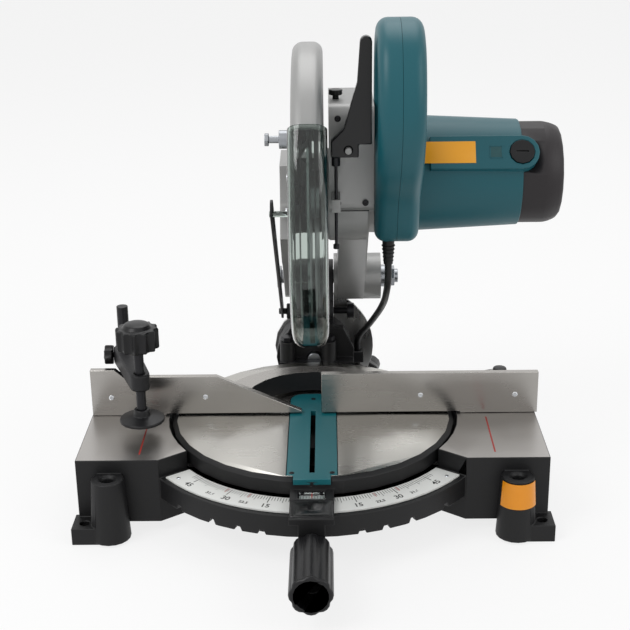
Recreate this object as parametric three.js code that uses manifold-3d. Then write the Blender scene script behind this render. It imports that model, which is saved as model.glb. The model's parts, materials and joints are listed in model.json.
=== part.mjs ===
// Compound mitre saw: base, turntable, tilting arm and chopping saw head.
// Millimetres. X runs to the right, Y away from the user, Z up. The bench is z = 0, the turntable's
// axis is x = y = 0 and the fence's face is y = 0.
import * as THREE from 'three';
import { mergeVertices } from 'three/addons/utils/BufferGeometryUtils.js';
import Module from 'manifold-3d';

const wasm = await Module();
wasm.setup();

// Driving sizes shared by the whole saw
const TABLE_TOP = 80;
const GAP = 0.3;
const OVERRUN = 2;
const WELD = 0.0001;
const ROUND = { coarse: 2 };
const SIDES = { fine: 30, round: 18, small: 12, tube: 8 };

// Base casting
const BASE = {
  footSpan: 476, footLip: 4, wingFront: 105, wingRear: 50, wingCorner: 152, wingInnerAngle: -34,
  wall: 5, top: 7, wallFoot: 12, panBottom: 42, panTop: 48, rimGap: 3, skirtFoot: 24,
};
const FOOT = { width: 31, depth: 30, height: 18, front: 130, rear: 78, hole: 5, holeInset: 12 };
const HOLDER = { offset: 201, front: 116, top: 66, foot: 2, topRadius: 16, footRadius: 20, bore: 6,
  depth: 44, mouth: 9 };
const APRON = { outer: 184, inner: 150, top: 60, foot: 38, wall: 6, halfAngle: 58, notchWide: 8,
  notchDeep: 5 };
const STOP_ANGLES = [-45, -31.6, -22.5, -15, 0, 15, 22.5, 31.6, 45];
const HUB = { radius: 32, ribThick: 6, ribFoot: 20 };
const SCALE = { inner: 152, outer: 179, thick: 1.6, halfAngle: 54 };

// Turntable
const DISC = { radius: 148, bare: 143, plate: 8, chamfer: 3, rimFoot: 63, rimWall: 6, hub: 40,
  boltRadius: 8 };
const NECK = { half: 21, window: 13, windowFront: 166, front: 205, foot: 24, block: 12.5, top: 69 };
const TROUGH = { left: 6, right: 19, front: 131, rear: 14, floor: 60 };
const KERF = {
  half: 24.5, rear: 53, front: 138.6, tongueHalf: 18, tongueFront: 147.5, thick: 6, corner: 15,
  slot: 5, slotRear: 9, slotFront: 133,
};
const LENS = { half: 12.5, rear: 150.5, front: 164, thick: 5 };
const THUMB = { half: 20.5, rear: 168, front: 200, thick: 3, dish: 10, dishDeep: 1.6, tail: 5, tailDrop: 3,
  pin: 2 };
const GRIP = { radius: 20, rear: 206, front: 288, axis: 40, flutes: 8, flute: 6, fluteDeep: 1.8, collar: 13,
  recess: 15, recessDeep: 26 };
const LOCK_ROD = { radius: 4, tip: 184.6 };
const BRACKET = { left: -40, right: 46, front: 142, rear: 170, foot: 52, shoulder: 92, top: 116, cheek: 44,
  cheekFront: 159,
  boltFront: 150, postRadius: 8.5, postTop: 104, stopLeft: -31, stopRight: 17 };

// Guide fence
const FENCE = {
  thick: 7, leftEnd: 233, rightEnd: 236, relief: 2, reliefHalf: 155, leftTop: 124, rightTop: 126,
  hornTop: 132, hornRun: 26, hornSlope: 9, slopeTop: 101, slopeEnd: 12, rightStart: 9, sliver: 2,
  foot: 8, footDepth: 24, hole: 2.5, holeHeight: 101, holeInner: 113, holeOuter: 212,
};
const ARCH = { inner: 71, innerCentre: -13, outer: 106, outerCentre: -30, top: 104 };
const SOCKET = { offset: 198, depth: 21, radius: 12, top: 117 };

// Vise
const VISE = {
  rod: 6, rodTop: 196, armFoot: 133, armTop: 150, spindleX: -173, spindleY: -50, armEye: 12, nose: 10,
  screw: 5, screwTop: 176, padRadius: 23, padFoot: 98, padThick: 6, knob: 22, knobFoot: 177, knobTop: 204,
  knobRim: 199,
  scallops: 12, scallop: 4.5, thumb: 11, thumbThick: 9, thumbScrew: 3, cup: 9, cupHeight: 7,
};

// Tilting arm
const ARM = {
  eye: 44, depth: 26, left: -21, right: 23, boltRadius: 8, pivotEye: 20, waist: 24, waistY: 182,
  waistZ: 118,
  linkY: 158, linkZ: 138, linkBoss: 9, linkLeft: -40, linkPin: 3.5, clipFront: 174, clipFoot: 66,
  clipSide: 58, clear: 48,
};
const BEVEL_SCALE = { outer: 70, inner: 46, thick: 3, from: -25, to: 85, room: 18.5 };
const BEVEL_LEVER = { hub: 16, thick: 12, length: 78, arm: 8, knob: 11, angle: -28, gap: 1 };
const STOP_BOLT = { radius: 4, head: 7, headThick: 5, length: 24, gap: 0.6 };

// Head: the pivot and the arbor as seen from the side, [y, z]
const PIVOT = { y: 185, z: 171, shaft: 8, left: -42, head: 5, right: 98, nut: 10.5, nutFrom: 82, nutTo: 94,
  washer: 13, washerThick: 4 };
const ARBOR = { y: -7, z: 322 };
const SPRING = { turns: 3, stepsPerTurn: 10, wire: 2, radius: 14 };
const BLADE = { radius: 127.5, thick: 2.2, teeth: 40, toothDepth: 7, bore: 12.5 };
const CASE = {
  outer: 148, wall: 3, left: -15.2, right: 14, frontAngle: 142, rearAngle: -32, hubRadius: 46, ring: 30,
  ringLeft: -18.3, window: 26,
};
const EAR = { left: -33, right: -22, radius: 24, root: 30, rootReach: 118, rootAngle: -30, bridgeFrom: -46,
  bridgeTo: 4, bridgeInner: 92 };
const GUARD = {
  inner: 149, outer: 152, half: 18, wall: 2.2, from: 141, to: 305, hub: 50, rightInner: 100, crank: 44,
  crankAngle: 190,
  crankPin: 3, crankLeft: -38.5, lobe: 12, lobeReach: 71, lobeAngle: 118,
};
const GUARD_BOSS = { radius: 9, left: -28, bolt: 3.5, boltLeft: -37.7, head: 6.5, headLeft: -41.7 };
const LINK = { left: -37.2, right: -34.6, half: 8, slotFrom: 242, slotTo: 282, slotHalf: 5.6 };
const COVER = { radius: 34, left: -21.6, right: -18.8 };
const FLANGE = { radius: 24, thick: 4.5, bore: 8 };
const ARBOR_BOLT = { head: 9, headThick: 5, shank: 5, length: 18 };
const SPINDLE = { radius: 8, seat: 12.2, collar: 12, flange: 24, flangeThick: 4.5, left: -4, right: 57 };
const GEARS = { module: 1.75, gearTeeth: 37, pinionTeeth: 8, pressure: 25, left: 34, right: 45,
  gearAddendum: 0.7,
  pinionAddendum: 0.9, dedendum: 1.2, backlash: 0.14, lineAngle: 16 };
const HOUSING = {
  left: 19, right: 61.7, neck: 45, neckLeft: 14.3, front: -58, rear: 40, foot: 316, top: 420, corner: 10,
  drum: 60,
  drumLeft: 50, drumRight: 99.7, gearRoom: 36, pinionRoom: 13, roomRight: 52, shaftRoom: 20, motorRoom: 54,
  motorRoomLeft: 68,
  armLeft: 28, armRight: 58, armY: 12, armZ: 320, armRoot: 46, boss: 27, bossLeft: 23.6, bossRight: 77.7,
  spring: 20,
  springRight: 60, bearingRight: 31,
};
const MOTOR = {
  left: 100, right: 208, flangeRadius: 60, startRadius: 58, endRadius: 53, wall: 3.2, capLength: 41,
  capRadius: 51,
  capEndRadius: 47, rib: 17, ribProud: 6, ribTop: 60, ribAngle: 147, brushX: 206, brushCap: 12,
  brushDeep: 6,
};
const ROTOR = { shaft: 6, neck: 4.4, left: 31.5, right: 236, core: 25, coreFrom: 132, coreTo: 174,
  commutator: 16, commFrom: 190,
  commTo: 222, fan: 46, fanFrom: 108, fanTo: 122, fanHub: 12, blades: 12, bladeThick: 2.4 };
const STATOR = { outer: 49.4, inner: 27, from: 130, to: 176, flat: 40 };

// Handle, its trigger and the levers beside it
const HANDLE = { left: 62, right: 104, seam: 83, height: 213, depth: 138, rear: -14, foot: 290, round: 9,
  wall: 4 };
const HANDLE_OUTLINE_SHARES = [
  [-0.16, 0], [-0.35, 0], [-0.58, 0.22], [-0.86, 0.40], [-1, 0.58], [-0.98, 0.78], [-0.85, 0.93],
  [-0.61, 1],
  [-0.28, 0.97], [-0.07, 0.86], [0, 0.70], [-0.02, 0.54], [-0.13, 0.42], [-0.15, 0.20],
];
const HANDLE_HOLE_SHARES = [
  [-0.74, 0.52], [-0.79, 0.68], [-0.70, 0.83], [-0.50, 0.885], [-0.28, 0.83], [-0.21, 0.68], [-0.27, 0.53],
  [-0.52, 0.46],
];
const TRIGGER = { width: 15, reach: 13, height: 54, thick: 8, dish: 5, travel: 5, heightShare: 0.7 };
const SAFETY = {
  thick: 9, depth: -84, pivotX: 37, pivotZ: 385, tipX: 53, tipZ: 488, tip: 5.5, heelX: 21, heelZ: 381,
  foot: 378,
  kneeX: 45, right: 58.5, step: 12, pin: 3, boss: 6,
};
const LEVER_ROD = { radius: 1.6, knuckle: 4, x: 25.5, foot: 290, guideFoot: 326, guideTop: 338, wall: 4 };
const SHAFT_LOCK = { cap: 6.5, capThick: 5, stem: 3, x: 26, depth: -24, foot: 402, travel: 3.5 };
const NOZZLE = { radius: 18, wall: 2.5, length: 46, z: 330 };

// Mains lead
const CORD = { radius: 3.5, sides: 8, clipLong: 14, gland: 7, glandLong: 24 };
const COIL = { turns: 2.25, radius: 50.5, x: 146, y: 186, pitch: 8.6, lift: 7.9, outlet: 35, steps: 24,
  sides: 6 };
const PLUG = { length: 36, width: 34, thick: 24, pin: 2.4, pinLength: 17, pinSpread: 19, round: 5,
  sleeve: 22, sleeveRadius: 6 };
const STOPPER = { radius: 4, knob: 9, knobThick: 8, reach: 16, y: 186, z: 128 };

// Places that several pieces share
const gearCentres = (GEARS.module * (GEARS.gearTeeth + GEARS.pinionTeeth)) / 2;
const rimRadius = DISC.radius + BASE.rimGap;
const scaleTop = APRON.top + GAP + SCALE.thick;
const footHalf = BASE.footSpan / 2;
const wingHalf = footHalf - BASE.footLip;

// Plain helpers
const radians = (degrees) => (degrees * Math.PI) / 180;
const middle = (a, b) => (a + b) / 2;
const polar = (centre, radius, degrees) => [
  centre[0] + radius * Math.cos(radians(degrees)), centre[1] + radius * Math.sin(radians(degrees))];
const arbor = [ARBOR.y, ARBOR.z];
const pivot = [PIVOT.y, PIVOT.z];
const motorAxis = polar(arbor, gearCentres, GEARS.lineAngle);

function arc(centre, radius, from, to, steps = 12) {
  return Array.from({ length: steps + 1 },
    (_, i) => polar(centre, radius, from + ((to - from) * i) / steps));
}

function ringSector(centre, inner, outer, from, to, steps = 24) {
  return [...arc(centre, outer, from, to, steps), ...arc(centre, inner, to, from, steps)];
}

function roundedRect([x0, x1], [y0, y1], radius, steps = 4) {
  return [
    ...arc([x1 - radius, y1 - radius], radius, 0, 90, steps),
    ...arc([x0 + radius, y1 - radius], radius, 90, 180, steps),
    ...arc([x0 + radius, y0 + radius], radius, 180, 270, steps),
    ...arc([x1 - radius, y0 + radius], radius, 270, 360, steps)];
}

// The outline of two discs and the straight tangents between them
function strap(a, ra, b, rb, steps = 8) {
  const along = (Math.atan2(b[1] - a[1], b[0] - a[0]) * 180) / Math.PI;
  const lean = (Math.acos((ra - rb) / Math.hypot(b[0] - a[0], b[1] - a[1])) * 180) / Math.PI;
  return [...arc(a, ra, along + lean, along + 360 - lean, steps),
    ...arc(b, rb, along - lean, along + lean, steps)];
}

function smoothLoop(points, steps) {
  const curve = new THREE.CatmullRomCurve3(points.map(([a, b]) => new THREE.Vector3(a, b, 0)), true,
    'centripetal');
  return curve.getPoints(steps).slice(0, -1).map((p) => [p.x, p.y]);
}

// Solids as buffer geometry
function onAxis(geometry, axis) {
  const turns = {
    z: new THREE.Matrix4(),
    x: new THREE.Matrix4().makeBasis(new THREE.Vector3(0, 1, 0), new THREE.Vector3(0, 0, 1),
      new THREE.Vector3(1, 0, 0)),
    y: new THREE.Matrix4().makeBasis(new THREE.Vector3(1, 0, 0), new THREE.Vector3(0, 0, 1),
      new THREE.Vector3(0, 1, 0)),
  };
  return geometry.applyMatrix4(turns[axis]);
}

// The outline's points, counterclockwise for turn 1 and clockwise for turn -1
function wound(outline, turn) {
  const points = outline.map(([a, b]) => new THREE.Vector2(a, b));
  return THREE.ShapeUtils.area(points) * turn > 0 ? points : points.reverse();
}

// A prism whose outline lies in the plane across the axis: (x, y) for z, (y, z) for x, (x, z) for y
function prism(axis, outline, from, to, holes = [], round = 0) {
  const shape = new THREE.Shape(wound(outline, 1));
  holes.forEach((hole) => shape.holes.push(new THREE.Path(wound(hole, -1))));
  const bevel = { bevelEnabled: round > 0, bevelThickness: round, bevelSize: round, bevelOffset: -round,
    bevelSegments: round > ROUND.coarse ? 2 : 1 };
  const geometry = new THREE.ExtrudeGeometry(shape,
    { depth: to - from - 2 * round, curveSegments: 1, ...bevel });
  return onAxis(geometry.translate(0, 0, from + round), axis);
}

function slab([x0, x1], [y0, y1], [z0, z1]) {
  const geometry = new THREE.BoxGeometry(x1 - x0, y1 - y0, z1 - z0);
  return geometry.translate(middle(x0, x1), middle(y0, y1), middle(z0, z1));
}

const rod = (axis, centre, radius, from, to, sides = SIDES.round) =>
  prism(axis, arc(centre, radius, 0, 360, sides).slice(0, -1), from, to);

// A turned solid: profile of [radius, along] that starts and ends on the axis or closes on itself
function turned(axis, centre, profile, sides = SIDES.round) {
  const closed = profile[0][0] === 0 ? profile : [...profile, profile[0]];
  const geometry = new THREE.LatheGeometry(closed.map(([r, t]) => new THREE.Vector2(r, t)), sides);
  geometry.rotateX(Math.PI / 2);
  return onAxis(geometry.translate(centre[0], centre[1], 0), axis);
}

function tube(points, radius, steps, sides = SIDES.tube) {
  const path = new THREE.CatmullRomCurve3(points.map((p) => new THREE.Vector3(...p)), false, 'centripetal');
  const shape = new THREE.Shape(arc([0, 0], radius, 0, 360, sides).slice(0,
    -1).map(([a, b]) => new THREE.Vector2(a, b)));
  return new THREE.ExtrudeGeometry(shape,
    { steps, extrudePath: path, curveSegments: 1, bevelEnabled: false });
}

// Boolean work on closed meshes
function solidOf(source) {
  const bare = source.clone();
  bare.deleteAttribute('normal');
  bare.deleteAttribute('uv');
  const welded = mergeVertices(bare, WELD);
  const places = welded.getAttribute('position').array;
  const corners = Array.from(welded.getIndex().array);
  const faces = [];
  let volume = 0;
  const a = new THREE.Vector3();
  const b = new THREE.Vector3();
  const c = new THREE.Vector3();
  for (let i = 0; i < corners.length; i += 3) {
    const [p, q, r] = corners.slice(i, i + 3);
    if (p !== q && q !== r && r !== p) {
      faces.push(p, q, r);
      volume += a.fromArray(places,
        p * 3).dot(b.fromArray(places, q * 3).cross(c.fromArray(places, r * 3)));
    }
  }
  const facing = volume < 0 ? faces.slice().reverse() : faces;
  return new wasm.Manifold(new wasm.Mesh({
    numProp: 3, vertProperties: Float32Array.from(places), triVerts: Uint32Array.from(facing),
  }));
}

function geometryOf(solid) {
  const mesh = solid.getMesh();
  const geometry = new THREE.BufferGeometry();
  geometry.setAttribute('position', new THREE.BufferAttribute(Float32Array.from(mesh.vertProperties), 3));
  geometry.setIndex(new THREE.BufferAttribute(Uint32Array.from(mesh.triVerts), 1));
  return geometry;
}

const fold = (first, others,
  step) => geometryOf(others.reduce((solid, next) => step(solid, solidOf(next)), solidOf(first)));
const join = (first, ...others) => fold(first, others, (a, b) => a.add(b));
const cut = (first, ...others) => fold(first, others, (a, b) => a.subtract(b));
const common = (first, ...others) => fold(first, others, (a, b) => a.intersect(b));

// Materials
const finish = (color, roughness, metalness, more = {}) =>
  new THREE.MeshStandardMaterial({ color, roughness, metalness, flatShading: true, ...more });
const LOOKS = {
  coating: finish(0x1d1d1f, 0.5, 0.2), machined: finish(0xb4b3b0, 0.35, 0.9),
  cast: finish(0x9c9c9c, 0.5, 0.7),
  teal: finish(0x1d6f73, 0.45, 0), black: finish(0x161618, 0.45, 0), steel: finish(0x8f9296, 0.3, 0.9),
  dark: finish(0x2a2a2c, 0.5, 0.6), white: finish(0xe6e6e2, 0.5, 0),
  smoke: finish(0x5b6a66, 0.1, 0, { transparent: true, opacity: 0.55 }),
  clear: finish(0xd5dcdc, 0.1, 0, { transparent: true, opacity: 0.5 }), rubber: finish(0x141414, 0.7, 0),
  copper: finish(0x9a5a35, 0.4, 0.8),
  brass: finish(0xb08d45, 0.4, 0.8),
};

const saw = new THREE.Group();
saw.name = 'mitre_saw';

function add(name, geometry, look) {
  const clean = geometryOf(solidOf(geometry));
  clean.computeVertexNormals();
  const mesh = new THREE.Mesh(clean, LOOKS[look]);
  mesh.name = name;
  saw.add(mesh);
}

// Base casting: two wings, the apron under the mitre scale, the pan with its hub, feet and holders
function wingOutline(side, inset) {
  const radius = rimRadius + inset;
  const diagonal = [rimRadius * Math.cos(radians(BASE.wingInnerAngle)) - BASE.wingCorner,
    rimRadius * Math.sin(radians(BASE.wingInnerAngle)) + BASE.wingFront];
  const length = Math.hypot(...diagonal);
  const along = [diagonal[0] / length, diagonal[1] / length];
  const corner = [BASE.wingCorner + inset * ((1 + along[0]) / along[1]), inset - BASE.wingFront];
  const dot = corner[0] * along[0] + corner[1] * along[1];
  const reach = -dot - Math.sqrt(dot * dot - corner[0] ** 2 - corner[1] ** 2 + radius ** 2);
  const meet = [corner[0] + along[0] * reach, corner[1] + along[1] * reach];
  const from = (Math.atan2(meet[1], meet[0]) * 180) / Math.PI;
  const to = (Math.asin((BASE.wingRear - inset) / radius) * 180) / Math.PI;
  const outer = wingHalf - inset;
  const points = [[outer, inset - BASE.wingFront], corner, ...arc([0, 0], radius, from, to, 7),
    [outer, BASE.wingRear - inset]];
  return points.map(([x, y]) => [side * x, y]);
}

function wing(side) {
  const block = prism('z', wingOutline(side, 0), BASE.wallFoot, TABLE_TOP);
  const hollow = prism('z', wingOutline(side, BASE.wall), BASE.wallFoot - OVERRUN, TABLE_TOP - BASE.top);
  return cut(block, hollow);
}

function foot(side, front) {
  const x = [side * footHalf, side * (footHalf - FOOT.width)].sort((a, b) => a - b);
  const y = front ? [-FOOT.front, -FOOT.front + FOOT.depth] : [FOOT.rear - FOOT.depth, FOOT.rear];
  const hole = [side * (footHalf - FOOT.holeInset),
    front ? FOOT.holeInset - FOOT.front : FOOT.rear - FOOT.holeInset];
  return { pad: slab(x, y, [0, FOOT.height]),
    hole: rod('z', hole, FOOT.hole, -OVERRUN, FOOT.height + OVERRUN, SIDES.small) };
}

function holder(side) {
  const at = [side * HOLDER.offset, -HOLDER.front];
  const post = turned('z', at,
    [[0, HOLDER.foot], [HOLDER.footRadius, HOLDER.foot], [HOLDER.topRadius, HOLDER.top], [0, HOLDER.top]]);
  const floor = HOLDER.top - HOLDER.depth;
  const lip = HOLDER.mouth - HOLDER.bore;
  const bore = turned('z', at, [[0, floor], [HOLDER.bore, floor], [HOLDER.bore, HOLDER.top - lip],
    [HOLDER.mouth + OVERRUN, HOLDER.top + OVERRUN], [0, HOLDER.top + OVERRUN]], SIDES.small);
  return { post, bore };
}

function apron() {
  const from = -90 - APRON.halfAngle;
  const to = -90 + APRON.halfAngle;
  const block = prism('z', ringSector([0, 0], APRON.inner, APRON.outer, from, to, 16), APRON.foot,
    APRON.top);
  const hollow = prism('z',
    ringSector([0, 0], APRON.inner + APRON.wall, APRON.outer - APRON.wall, from + 2, to - 2, 12),
    APRON.foot - OVERRUN, APRON.top - APRON.wall);
  return cut(block, hollow);
}

function stopNotch(degrees) {
  const half = APRON.notchWide / 2;
  const flat = half / 2;
  const outline = [[-half - OVERRUN, APRON.foot - OVERRUN * 2], [half + OVERRUN, APRON.foot - OVERRUN * 2],
    [half, APRON.foot],
    [flat, APRON.foot + APRON.notchDeep], [-flat, APRON.foot + APRON.notchDeep], [-half, APRON.foot]];
  const cutter = prism('y', outline, -APRON.outer - OVERRUN, -APRON.outer + APRON.wall + OVERRUN);
  return cutter.rotateZ(radians(degrees));
}

function baseCasting() {
  const pan = rod('z', [0, 0], rimRadius + BASE.wall, BASE.panBottom, BASE.panTop, SIDES.fine);
  const skirt = prism('z', arc([0, 0], rimRadius + BASE.wall, 0, 360, SIDES.fine).slice(0, -1),
    BASE.skirtFoot, BASE.panTop,
    [arc([0, 0], rimRadius, 0, 360, SIDES.fine).slice(0, -1)]);
  const hub = rod('z', [0, 0], HUB.radius, 0, BASE.panTop);
  const half = HUB.ribThick / 2;
  const reach = rimRadius + BASE.wall / 2;
  const crossRib = slab([-reach, reach], [-half, half], [HUB.ribFoot, BASE.panTop]);
  const longRib = slab([-half, half], [-reach, reach], [BASE.skirtFoot, BASE.panTop]);
  const feet = [-1, 1].flatMap((side) => [foot(side, true), foot(side, false)]);
  const holders = [-1, 1].map(holder);
  const body = join(pan, skirt, hub, crossRib, longRib, apron(), wing(-1), wing(1),
    ...feet.map((f) => f.pad), ...holders.map((h) => h.post));
  const bolt = rod('z', [0, 0], DISC.boltRadius + GAP, BASE.skirtFoot, BASE.panTop + OVERRUN, SIDES.small);
  return cut(body, bolt, ...feet.map((f) => f.hole), ...holders.map((h) => h.bore),
    ...STOP_ANGLES.map(stopNotch));
}

function mitreScale() {
  const outline = ringSector([0, 0], SCALE.inner, SCALE.outer, -90 - SCALE.halfAngle, -90 + SCALE.halfAngle,
    20);
  return prism('z', outline, APRON.top + GAP, scaleTop);
}

// Guide fence: machined plates in front, one bow that joins them behind the blade, rod sockets
function fencePlates() {
  const foot = TABLE_TOP + GAP;
  const lift = TABLE_TOP + FENCE.relief;
  const left = [[-FENCE.leftEnd, foot], [-FENCE.reliefHalf, foot], [-FENCE.reliefHalf, lift],
    [-FENCE.slopeEnd, lift],
    [-FENCE.slopeEnd, lift + FENCE.sliver], [-FENCE.slopeTop, FENCE.leftTop],
    [-FENCE.leftEnd + FENCE.hornRun + FENCE.hornSlope, FENCE.leftTop],
    [-FENCE.leftEnd + FENCE.hornRun, FENCE.hornTop],
    [-FENCE.leftEnd, FENCE.hornTop]];
  const right = [[FENCE.rightStart, lift], [FENCE.reliefHalf, lift], [FENCE.reliefHalf, foot],
    [FENCE.rightEnd, foot],
    [FENCE.rightEnd, FENCE.rightTop], [FENCE.rightStart, FENCE.rightTop]];
  return [prism('y', left, 0, FENCE.thick), prism('y', right, 0, FENCE.thick)];
}

function fenceArch() {
  const front = FENCE.thick / 2;
  const inner = (Math.asin((front - ARCH.innerCentre) / ARCH.inner) * 180) / Math.PI;
  const outer = (Math.asin((front - ARCH.outerCentre) / ARCH.outer) * 180) / Math.PI;
  const outline = [...arc([0, ARCH.outerCentre], ARCH.outer, outer, 180 - outer, 14),
    ...arc([0, ARCH.innerCentre], ARCH.inner, 180 - inner, inner, 10)];
  return prism('z', outline, TABLE_TOP + FENCE.relief, ARCH.top);
}

function fenceFoot(side) {
  const end = side < 0 ? -FENCE.leftEnd : FENCE.rightEnd;
  const start = side * (ARCH.inner + FENCE.thick * 2);
  const seat = side * FENCE.reliefHalf;
  const x = (a, b) => [Math.min(a, b), Math.max(a, b)];
  const y = [FENCE.thick / 2, FENCE.footDepth];
  return [slab(x(start, end), y, [TABLE_TOP + FENCE.relief, TABLE_TOP + FENCE.foot]),
    slab(x(seat, end), y, [TABLE_TOP + GAP, TABLE_TOP + FENCE.foot])];
}

function fenceGusset(x, top) {
  const run = FENCE.footDepth - FENCE.thick / 2;
  const outline = [[FENCE.thick / 2, TABLE_TOP + FENCE.foot / 2],
    [FENCE.thick / 2 + run, TABLE_TOP + FENCE.foot / 2],
    [FENCE.thick / 2, top - FENCE.foot]];
  return prism('x', outline, x - FENCE.thick / 2, x + FENCE.thick / 2);
}

function guideFence() {
  const gussets = [-SOCKET.offset + FENCE.footDepth * 2,
    SOCKET.offset - FENCE.footDepth * 2].map((x) => fenceGusset(x, FENCE.leftTop));
  const sockets = [-1, 1].map((side) => rod('z', [side * SOCKET.offset, SOCKET.depth], SOCKET.radius,
    TABLE_TOP + GAP, SOCKET.top));
  const bores = [-1, 1].map((side) =>
    rod('z', [side * SOCKET.offset, SOCKET.depth], VISE.rod + GAP, TABLE_TOP - OVERRUN,
      SOCKET.top + OVERRUN, SIDES.small));
  const holes = [-FENCE.holeOuter, -FENCE.holeInner, FENCE.holeInner, FENCE.holeOuter].map((x) =>
    rod('y', [x, FENCE.holeHeight], FENCE.hole, -OVERRUN, FENCE.thick + OVERRUN / 2, SIDES.small));
  const thumb = rod('y', [-SOCKET.offset, thumbHeight()], VISE.thumbScrew + GAP, SOCKET.depth,
    SOCKET.depth + SOCKET.radius + OVERRUN,
    SIDES.small);
  const [left, right] = fencePlates();
  const body = join(left, fenceArch(), right, ...fenceFoot(-1), ...fenceFoot(1), ...gussets, ...sockets);
  return cut(body, ...bores, ...holes, thumb);
}

const thumbHeight = () => middle(TABLE_TOP + FENCE.foot, SOCKET.top);

function thumbScrew(axis, along, at, tip) {
  const head = scallopedDisc(VISE.thumb, VISE.thumb / 4, 8, at, axis);
  const knob = prism(axis, head, along, along + VISE.thumbThick, [], 1);
  return join(knob, rod(axis, at, VISE.thumbScrew, tip, along + OVERRUN, SIDES.small));
}

function scallopedDisc(radius, scallop, count, centre) {
  const steps = count * 3;
  const wave = scallop / 2;
  return Array.from({ length: steps }, (_, i) => {
    const turn = (i / steps) * 360;
    return polar(centre, radius - wave + wave * Math.cos(radians(turn * count)), turn);
  });
}

// Turntable: disc with rim, hub, blade trough, the neck in front and the tilt bracket behind
function kerfOutline(grow) {
  const half = KERF.half + grow;
  const rear = KERF.rear + grow;
  const radius = KERF.corner + grow;
  const tongue = KERF.tongueHalf + grow;
  const front = -KERF.front - grow;
  return [[tongue, -KERF.tongueFront - grow], [tongue, front], [half, front],
    ...arc([half - radius, rear - radius], radius, 0, 90, 6),
    ...arc([radius - half, rear - radius], radius, 90, 180, 6), [-half, front], [-tongue, front],
    [-tongue, -KERF.tongueFront - grow]];
}

// The block behind the disc that carries the arm, with posts for the two tilt stop bolts
function tiltBracket() {
  const { left, right, front, rear, foot, shoulder, top } = BRACKET;
  const slope = (top - shoulder) / 2;
  const block = prism('y', [[left, foot], [right, foot], [right, shoulder], [right - slope, top],
    [left + slope, top],
    [left, shoulder]], front + 2 * BRACKET.postRadius - 1, rear);
  const ledge = slab([left, right], [front, rear], [foot, TABLE_TOP]);
  const cheek = rod('y', [0, TABLE_TOP], BRACKET.cheek, BRACKET.cheekFront, rear);
  const posts = [BRACKET.stopLeft,
    BRACKET.stopRight].map((x) => rod('z', [x, front + BRACKET.postRadius], BRACKET.postRadius,
    TABLE_TOP - OVERRUN, BRACKET.postTop, SIDES.small));
  const bores = [BRACKET.stopLeft,
    BRACKET.stopRight].map((x) => rod('z', [x, front + BRACKET.postRadius], STOP_BOLT.radius + GAP,
    BRACKET.postTop - STOP_BOLT.length - OVERRUN, BRACKET.postTop + OVERRUN, SIDES.small));
  return cut(join(block, ledge, cheek, ...posts), ...bores);
}

function turntable() {
  const plateFoot = TABLE_TOP - DISC.plate;
  const disc = turned('z', [0, 0],
    [[0, BASE.panTop + GAP], [DISC.hub, BASE.panTop + GAP], [DISC.hub, plateFoot],
    [DISC.radius - DISC.rimWall, plateFoot], [DISC.radius - DISC.rimWall, DISC.rimFoot],
    [DISC.radius, DISC.rimFoot],
    [DISC.radius, TABLE_TOP - DISC.chamfer], [DISC.bare, TABLE_TOP], [0, TABLE_TOP]], SIDES.fine);
  const neckFoot = scaleTop + OVERRUN / 2;
  const bridge = slab([-NECK.half, NECK.half], [-NECK.front, -DISC.radius + DISC.rimWall / 2],
    [neckFoot, NECK.top]);
  const block = slab([-NECK.block, NECK.block], [-NECK.front, -APRON.outer - BASE.rimGap],
    [NECK.foot, NECK.top]);
  const body = join(disc, bridge, block, tiltBracket());
  const trough = slab([-TROUGH.left, TROUGH.right], [-TROUGH.front, TROUGH.rear],
    [TROUGH.floor, TABLE_TOP]);
  const pocket = prism('z', kerfOutline(GAP), TABLE_TOP - KERF.thick - GAP, TABLE_TOP + OVERRUN);
  const window = slab([-NECK.window, NECK.window], [-NECK.windowFront, -DISC.radius - BASE.rimGap / 2],
    [neckFoot - OVERRUN, NECK.top + OVERRUN]);
  const screw = rod('y', [0, GRIP.axis], LOCK_ROD.radius + GAP, -NECK.front - OVERRUN, -APRON.outer,
    SIDES.small);
  const centre = rod('z', [0, 0], DISC.boltRadius + GAP, BASE.panTop - OVERRUN, TROUGH.floor - HUB.ribThick,
    SIDES.small);
  const tilt = rod('y', [0, TABLE_TOP], ARM.boltRadius + GAP, BRACKET.boltFront, BRACKET.rear + OVERRUN,
    SIDES.small);
  const tray = slab([-NECK.half, NECK.half], [-THUMB.front - GAP, -THUMB.rear + GAP],
    [NECK.top - THUMB.thick - GAP, NECK.top + OVERRUN]);
  return cut(body, trough, pocket, window, screw, centre, tilt, tray);
}

function centreBolt() {
  return rod('z', [0, 0], DISC.boltRadius, BASE.skirtFoot + GAP, TROUGH.floor - HUB.ribThick - GAP,
    SIDES.small);
}

function kerfBoard() {
  const board = prism('z', kerfOutline(0), TABLE_TOP - KERF.thick, TABLE_TOP);
  const half = KERF.slot / 2;
  const foot = TABLE_TOP - KERF.thick - OVERRUN;
  const drop = KERF.thick + OVERRUN;
  const outline = [[-half, foot], [half + drop, foot], [half, TABLE_TOP], [half, TABLE_TOP + OVERRUN],
    [-half, TABLE_TOP + OVERRUN]];
  return cut(board, prism('y', outline, -KERF.slotFront, KERF.slotRear));
}

function pointerLens() {
  const foot = scaleTop + OVERRUN / 2;
  const body = prism('z', roundedRect([-LENS.half, LENS.half], [-LENS.front, -LENS.rear], OVERRUN), foot,
    foot + LENS.thick);
  return body;
}

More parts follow.
